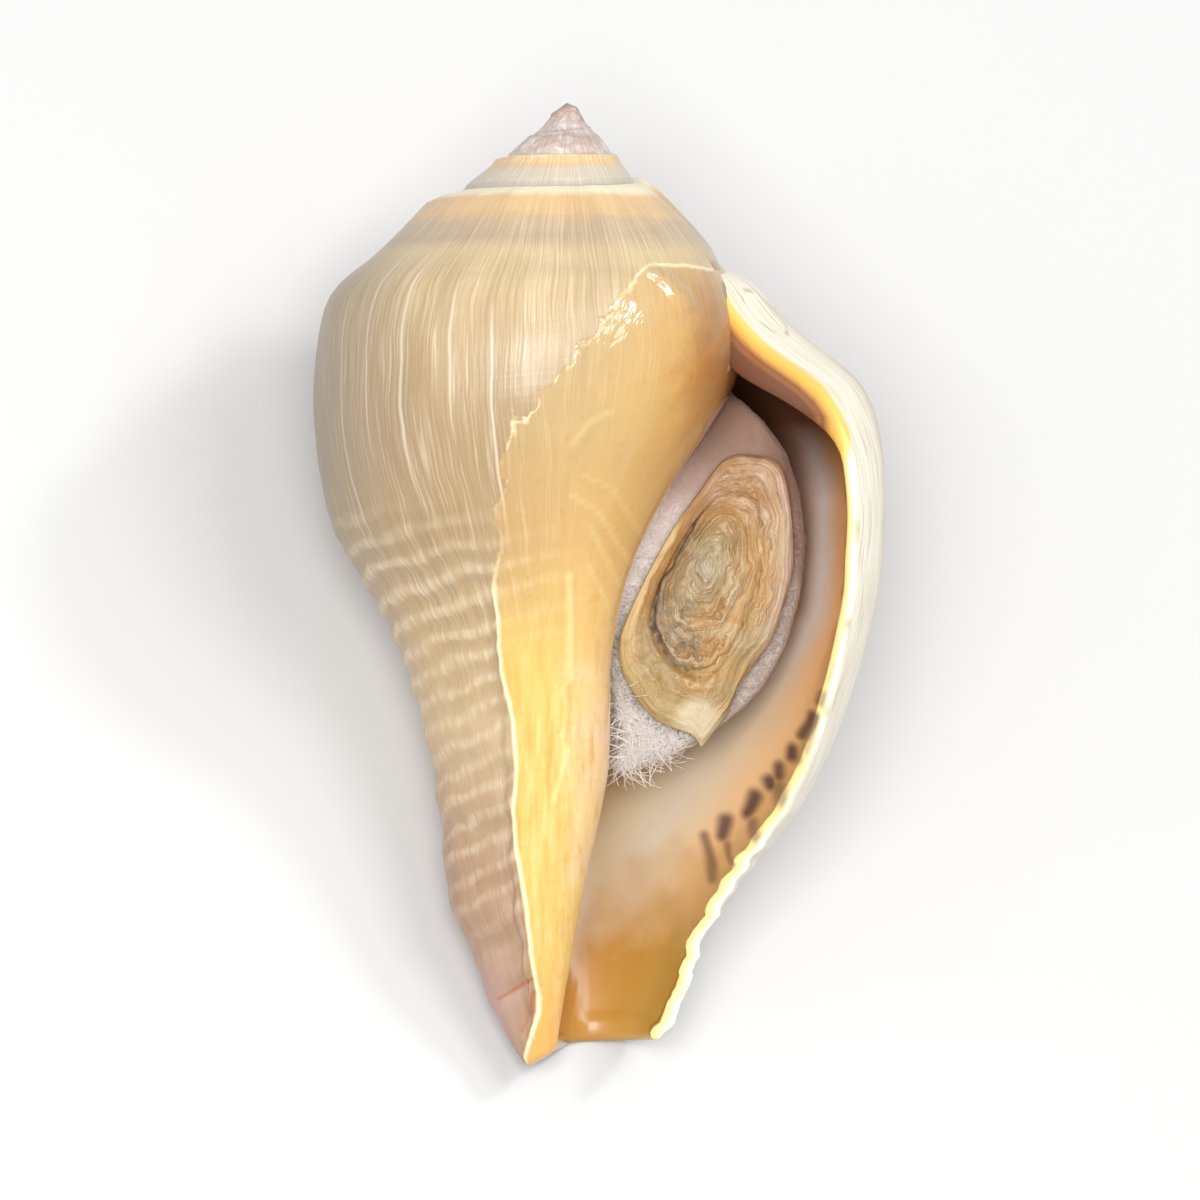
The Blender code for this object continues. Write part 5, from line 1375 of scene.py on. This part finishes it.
# %% Operculum horn
def horn_finish():
    """Horn in sheets: amber margins, a grey flaked middle, dark cracks and pale torn edges."""
    made, tree, surface = new_finish("operculum_horn", 0.45, IOR=1.55, Subsurface_Weight=0.1,
                                     Subsurface_Scale=0.0008)
    surface.inputs["Subsurface Radius"].default_value = (1.0, 0.55, 0.2)
    size, east, south = add(tree, SEPARATE, add(tree, MEMORY, attribute_name="ring", out=1), out=None)
    place = add(tree, MEMORY, attribute_name="home", out=1)
    ring, sheets = plate_rings(tree, size, east, south, place)
    thread = add(tree, NOISE, add(tree, COMBINE, add(tree, "*", ring, HORN_NOISE), add(tree, "*", east, 1.6),
                                  add(tree, "*", south, 1.6)), 1.0, 2.0, 0.55)
    cloud = add(tree, NOISE, place, 0.4, 4.0, 0.65)

    left = add(tree, RAMP, ring, stops=[
        (0.1, "#a4977c"), (1.0, "#dcc088"), (0.3, "#a8916a"), (0.45, "#a08456"), (0.66, "#94703f"),
        (0.73, "#4f3820"), (0.78, "#8f6024"), (0.92, "#a87628"), (0.97, "#dcbd82")])
    right = add(tree, RAMP, ring, stops=[
        (0.1, "#a4977c"), (1.0, "#cbb09c"), (0.32, "#ac9264"), (0.5, "#b0864e"), (0.66, "#c0945a"),
        (0.82, "#c8a46e"), (0.93, "#cfae84")])
    colour = add(tree, COLOUR, add(tree, RANGE, east, -0.5, 0.35, 0.0, 1.0), left, right)
    low = add(tree, "*", add(tree, RANGE, south, 0.55, 0.9, 0.0, 1.0),
              add(tree, RANGE, ring, 0.7, 0.86, 0.0, 0.85))
    colour = add(tree, COLOUR, low, colour, "#9a7c3c")
    high = add(tree, "*", add(tree, RANGE, south, -0.5, -0.9, 0.0, 1.0),
               add(tree, RANGE, ring, 0.6, 0.8, 0.0, 0.8))
    colour = add(tree, COLOUR, high, colour, "#b0804c")
    torn_top = add(tree, VECTOR, place, TORN_TOP, operation="DISTANCE", out=-1)
    torn_top = add(tree, "*", add(tree, RANGE, torn_top, 2.0, 5.5, 1.0, 0.0),
                   add(tree, RANGE, cloud, 0.44, 0.6, 0.0, 0.8))
    colour = add(tree, COLOUR, torn_top, colour, "#ddc3ac")

    # Dark cracks between lumps, most at the lower left of the raised middle
    cells = add(tree, "ShaderNodeTexVoronoi", place, 0.55, 2.0, 0.5, 2.0, 0.9, feature="DISTANCE_TO_EDGE")
    crack = add(tree, RANGE, cells, 0.0, 0.14, 1.0, 0.0)
    near = add(tree, VECTOR, place, LUMPS, operation="DISTANCE", out=-1)
    crack = add(tree, "*", crack, add(tree, RANGE, near, 2.5, 5.5, 0.9, 0.0))
    crack = add(tree, "*", crack, add(tree, RANGE, ring, 0.68, 0.76, 1.0, 0.0))
    colour = add(tree, COLOUR, crack, colour, "#45341f")
    lump = add(tree, RANGE, near, 1.5, 4.5, 0.5, 0.0)
    colour = add(tree, COLOUR, add(tree, "*", lump, cloud), colour, "#c9bfa4")

    margin = add(tree, "*", add(tree, RANGE, ring, 0.74, 0.8, 0.0, 1.0),
                 add(tree, RANGE, east, 0.2, -0.2, 0.0, 1.0))
    calm = add(tree, RANGE, margin, 0.0, 1.0, 1.0, 0.3)
    patch = add(tree, NOISE, place, 0.22, 3.0, 0.55, 2.0, 0.6)
    colour = add(tree, COLOUR, add(tree, RANGE, patch, 0.5, 0.62, 0.0, 0.45), colour, "#b98a4a")
    pale = add(tree, "*", add(tree, RANGE, patch, 0.46, 0.36, 0.0, 0.4), calm)
    colour = add(tree, COLOUR, pale, colour, "#cbbf9f")
    step = add(tree, "*", add(tree, RANGE, sheets, 0.45, 0.1, 0.0, 0.4), calm)
    colour = add(tree, COLOUR, step, colour, "#4f3d28")
    torn = add(tree, "*", add(tree, RANGE, thread, 0.5, 0.68, 0.0, 0.5),
               add(tree, RANGE, cloud, 0.35, 0.6, 0.3, 1.0))
    torn = add(tree, "*", torn, add(tree, RANGE, margin, 0.0, 1.0, 1.0, 0.5))
    colour = add(tree, COLOUR, torn, colour, "#ead9b0")
    lines = add(tree, "*", add(tree, RANGE, thread, 0.47, 0.32, 0.0, 0.4), calm)
    colour = add(tree, COLOUR, lines, colour, "#5a4228")
    groove = add(tree, RANGE, add(tree, "abs", add(tree, "-", ring, 0.73)), 0.008, 0.04, 0.85, 0.0)
    groove = add(tree, "*", groove, add(tree, RANGE, east, 0.1, -0.5, 0.0, 1.0))
    colour = add(tree, COLOUR, groove, colour, "#3a2716")
    flake = add(tree, VECTOR, place, LOW_FLAKE, operation="DISTANCE", out=-1)
    flake = add(tree, RANGE, flake, 1.6, 2.8, 0.75, 0.0)
    colour = add(tree, COLOUR, flake, colour, "#cfc1a2")
    tree.links.new(colour, surface.inputs["Base Color"])
    tree.links.new(add(tree, RANGE, cloud, 0.3, 0.7, 0.32, 0.55), surface.inputs["Roughness"])
    height = add(tree, "-", add(tree, "+", thread, cloud), crack)
    tree.links.new(add(tree, "ShaderNodeBump", 0.8, 0.00016, None, height), surface.inputs["Normal"])
    return made


# %% [markdown]
# ## The cotton's finish
# Cotton is matt and scatters light between its fibres, so it has a sheen and no gloss. Where it is
# pressed flat it is nearly smooth and paler further down; its brown at the top and on the right is
# painted shade, and a strip on the left is lightened, partly its own white and partly painted light. At
# the left and the foot it is loose and nearly white, with specks of white between spaces darkened as
# painted shade.

# %% Cotton fibre
def cotton_finish(name, loose):
    """Pressed and loose cotton; loose=1 is the colour of single fibres."""
    made, tree, surface = new_finish(name, 0.92, Specular_IOR_Level=0.25, Sheen_Weight=0.35,
                                     Sheen_Roughness=0.5)
    place = add(tree, MEMORY, attribute_name="home", out=1)
    x, depth = add(tree, SEPARATE, place, out=None)[:2]
    cloud = add(tree, NOISE, place, 0.5, 3.0, 0.6)
    # Tufts are 0.8 mm wide. Single fibres of 0.02 mm are too fine to show, so they are drawn only as the
    # loose ones, which are mesh
    speck = add(tree, NOISE, place, 1.3, 4.0, 0.72, 2.0, 2.2)
    # Painted shade: the brown at the top of this ramp, deep in the mouth, and the darker brown on the right
    # beside the wall.
    pressed = add(tree, RAMP, add(tree, RANGE, add(tree, "+", depth, cloud), 28.0, 66.0, 0.0, 1.0), stops=[
        (0.0, "#9a7460"), (1.0, "#e0d0c4"), (0.2, "#b39484"), (0.42, "#cdbbb4"), (0.62, "#d0bfb6")])
    shade = add(tree, "*", add(tree, RANGE, x, 20.0, 23.0, 0.0, 0.85),
                add(tree, RANGE, depth, 44.0, 54.0, 1.0, 0.0))
    pressed = add(tree, COLOUR, shade, pressed, "#7b5a4a")
    # The strip on the left is lightened: partly the cotton's own white, partly painted light.
    pale = add(tree, "*", add(tree, RANGE, x, 12.0, 16.0, 0.8, 0.0),
               add(tree, RANGE, depth, 38.0, 46.0, 0.0, 1.0))
    pressed = add(tree, COLOUR, pale, pressed, "#f6e9e4")
    # Darker spaces between the tufts are painted shade.
    shade_between_tufts = add(tree, "*", add(tree, RANGE, speck, 0.5, 0.4, 0.0, 0.7),
              add(tree, RANGE, depth, 42.0, 56.0, 0.1, 1.0))
    tuft = add(tree, "*", add(tree, RANGE, speck, 0.47, 0.58, 0.0, 1.0),
               add(tree, RANGE, depth, 38.0, 50.0, 0.05, 1.0))
    tuft = add(tree, "*", tuft, add(tree, RANGE, x, 13.0, 17.0, 1.0, 0.35))
    shade_between_tufts = add(tree, "*", shade_between_tufts, add(tree, RANGE, x, 13.0, 17.0, 1.0, 0.5))
    colour = add(tree, COLOUR, shade_between_tufts, pressed, "#8f7c7a")
    colour = add(tree, COLOUR, tuft, colour, "#fbf6f2")
    colour = add(tree, COLOUR, loose, colour, "#fffaf4")
    tree.links.new(colour, surface.inputs["Base Color"])
    tree.links.new(add(tree, RANGE, cloud, 0.3, 0.7, 0.85, 0.98), surface.inputs["Roughness"])
    fluff = add(tree, "*", speck, add(tree, RANGE, depth, 40.0, 55.0, 0.15, 1.0))
    tree.links.new(add(tree, "ShaderNodeBump", 1.0, 0.0006, None, fluff), surface.inputs["Normal"])
    return made


horn = horn_finish()
cotton = cotton_finish("cotton_pressed", 0.0)
thread = cotton_finish("cotton_threads", 0.75)

# %% [markdown]
# ### Loose fibres
# One arc of a thin three-sided tube is set on the wad's face, each time turned, tilted and sized at
# random. Density follows an attribute: none behind the plate or on the pressed side, and most at the
# loose foot on the left. A fibre's thickness goes with its length: most come out at 0.01 to 0.02 mm,
# as real ones are, and the longest at 0.08 mm.

# %% The fibre tree
FIBRE_ARC = [(0.0, 0.0, -0.1), (1.0, 0.0, 0.4), (1.7, 0.9, 0.0)]       # start, middle and end, mm
FIBRE_RADIUS = 0.018        # of the tube on an arc of that size, mm
FIBRE_SIZE = (0.5, 2.2)     # shortest and longest, as shares of that arc
FIBRE_TILT = 0.4            # how far one may lean, radians
FIBRES = 7e7                # how many to a square metre where the cotton is loose


def fibre_tree():
    """Scatters small arcs over the wad's face."""
    tree, given = new_tree("scatter fibres", [("Density", "NodeSocketFloat", 1.0),
                                              ("Length", "NodeSocketFloat", 1.0),
                                              ("Seed", "NodeSocketInt", 4),
                                              ("Finish", "NodeSocketMaterial", None)])
    clump = add(tree, NOISE, add(tree, KEPT, "home", data_type="FLOAT_VECTOR"), 0.7, 2.0, 0.6)
    density = add(tree, "*", add(tree, KEPT, "loose"), given["Density"])
    density = add(tree, "*", density, add(tree, RANGE, clump, 0.42, 0.6, 0.15, 2.0))
    points, _, rotation = add(tree, "GeometryNodeDistributePointsOnFaces", given["Geometry"], None, density,
                              given["Seed"], out=None)
    arc = add(tree, "GeometryNodeCurveQuadraticBezier", 4,
              *[[c * MM for c in point] for point in FIBRE_ARC])
    ring = add(tree, "GeometryNodeCurvePrimitiveCircle", 3, FIBRE_RADIUS * MM)
    tube = add(tree, "GeometryNodeCurveToMesh", arc, ring)
    spin = add(tree, "FunctionNodeRandomValue", (-FIBRE_TILT, -FIBRE_TILT, -math.pi),
               (FIBRE_TILT, FIBRE_TILT, math.pi), None, given["Seed"], data_type="FLOAT_VECTOR")
    turned_by = add(tree, "FunctionNodeRotateRotation", rotation,
                    add(tree, "FunctionNodeEulerToRotation", spin), rotation_space="LOCAL")
    chance = add(tree, "FunctionNodeRandomValue", 0.0, 1.0, None, given["Seed"], data_type="FLOAT")
    size = add(tree, RANGE, add(tree, "**", chance, 6.0), 0.0, 1.0, *FIBRE_SIZE)
    size = add(tree, "*", size, given["Length"])
    size = add(tree, "*", size, add(tree, RANGE, add(tree, KEPT, "loose"), 0.1, 0.9, 0.25, 1.0))
    placed_arcs = add(tree, "GeometryNodeInstanceOnPoints", points, None, tube, None, None, turned_by, size)
    finish_tree(tree, placed_arcs, given["Finish"])
    return tree


# %% Grow, raise and lay down the pieces
apply_tree(shell, winding_tree(), {"Finish": calcite})
apply_tree(operculum, plate_tree(), {"Finish": horn})
apply_tree(wad, wad_tree(), {"Finish": cotton})
fibres = bpy.data.objects.new("cotton_fibres", wad.data.copy())
bpy.context.scene.collection.objects.link(fibres)
apply_tree(fibres, fibre_tree(), {"Finish": thread, "Density": FIBRES})

# %% [markdown]
# ## Stage, light and camera

# %% Stage
floor_mesh = bpy.data.meshes.new("floor")
floor_mesh.from_pydata([(-2, -2, 0), (2, -2, 0), (2, 2, 0), (-2, 2, 0)], [], [(0, 1, 2, 3)])
floor = bpy.data.objects.new("floor", floor_mesh)
bpy.context.scene.collection.objects.link(floor)
paper = new_finish("pale_paper", 0.85, Base_Color=linear("#cfcfcf"))[0]
floor_mesh.materials.append(paper)


# %% Camera
def laid_down(x, depth, z):
    """A place in the shell's frame, in mm, as a place in the scene, in metres."""
    roll, pitch = math.radians(ROLL), math.radians(PITCH)
    way = Matrix.Rotation(pitch, 3, "X") @ Matrix.Rotation(roll, 3, "Y")
    return (way @ Vector((x, -depth, z)) - Vector(ORIGIN)) * MM


LENS = 300.0                # focal length, mm
VIEW_WIDTH = 0.120          # what the frame takes in at the shell's axis, metres
VIEW_CENTRE = (4.478, 49.608)           # x and depth of the middle of the picture, mm
VIEW_RIGHT = (0.99972, -0.02373)        # the way that is level in the picture, in x and depth
centre = laid_down(*VIEW_CENTRE, 0.0)
towards = (laid_down(0, 0, 1) - laid_down(0, 0, 0)).normalized()
right = (laid_down(*VIEW_RIGHT, 0) - laid_down(0, 0, 0)).normalized()
up = towards.cross(right)
camera_data = bpy.data.cameras.new("camera")
camera_data.lens = LENS
camera_data.clip_start = 0.05
camera_data.clip_end = 20.0
camera = bpy.data.objects.new("camera", camera_data)
bpy.context.scene.collection.objects.link(camera)
distance = VIEW_WIDTH * LENS / camera_data.sensor_width
turn = Matrix((right, up, towards)).transposed()
camera.matrix_world = Matrix.Translation(centre + towards * distance) @ turn.to_4x4()
bpy.context.scene.camera = camera


# %% Light
# Name, x, depth and z in the shell's frame in mm, watts, size in metres
LAMPS = [("front", -30, 10, 650, 3.4, 0.28), ("side", 330, -200, 520, 1.3, 0.25),
         ("fill", -420, 60, 420, 0.6, 0.5), ("glint", 430, -290, 330, 0.9, 0.08)]
SKY = 0.45                  # strength of the white studio round the shell


def lamp(name, x, depth, z, power, size):
    """A square soft white light at a place round the shell, aimed at the middle of the picture."""
    data = bpy.data.lights.new(name, "AREA")
    data.energy = power
    data.size = size
    made = bpy.data.objects.new(name, data)
    made.location = laid_down(x, depth, z)
    made.rotation_euler = (made.location - centre).to_track_quat("Z", "Y").to_euler()
    bpy.context.scene.collection.objects.link(made)


for row in LAMPS:
    lamp(*row)
world = bpy.data.worlds.new("studio")
world.use_nodes = True
world.node_tree.nodes["Background"].inputs["Color"].default_value = linear("#ffffff")
world.node_tree.nodes["Background"].inputs["Strength"].default_value = SKY
bpy.context.scene.world = world
bpy.context.scene.view_settings.view_transform = "Standard"

# %% Hand the pieces to the frame
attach(shell, "root")
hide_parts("shell")
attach(operculum, "root")
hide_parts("operculum")
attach(wad, "root")
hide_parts("cotton_wad")
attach(fibres, "root")
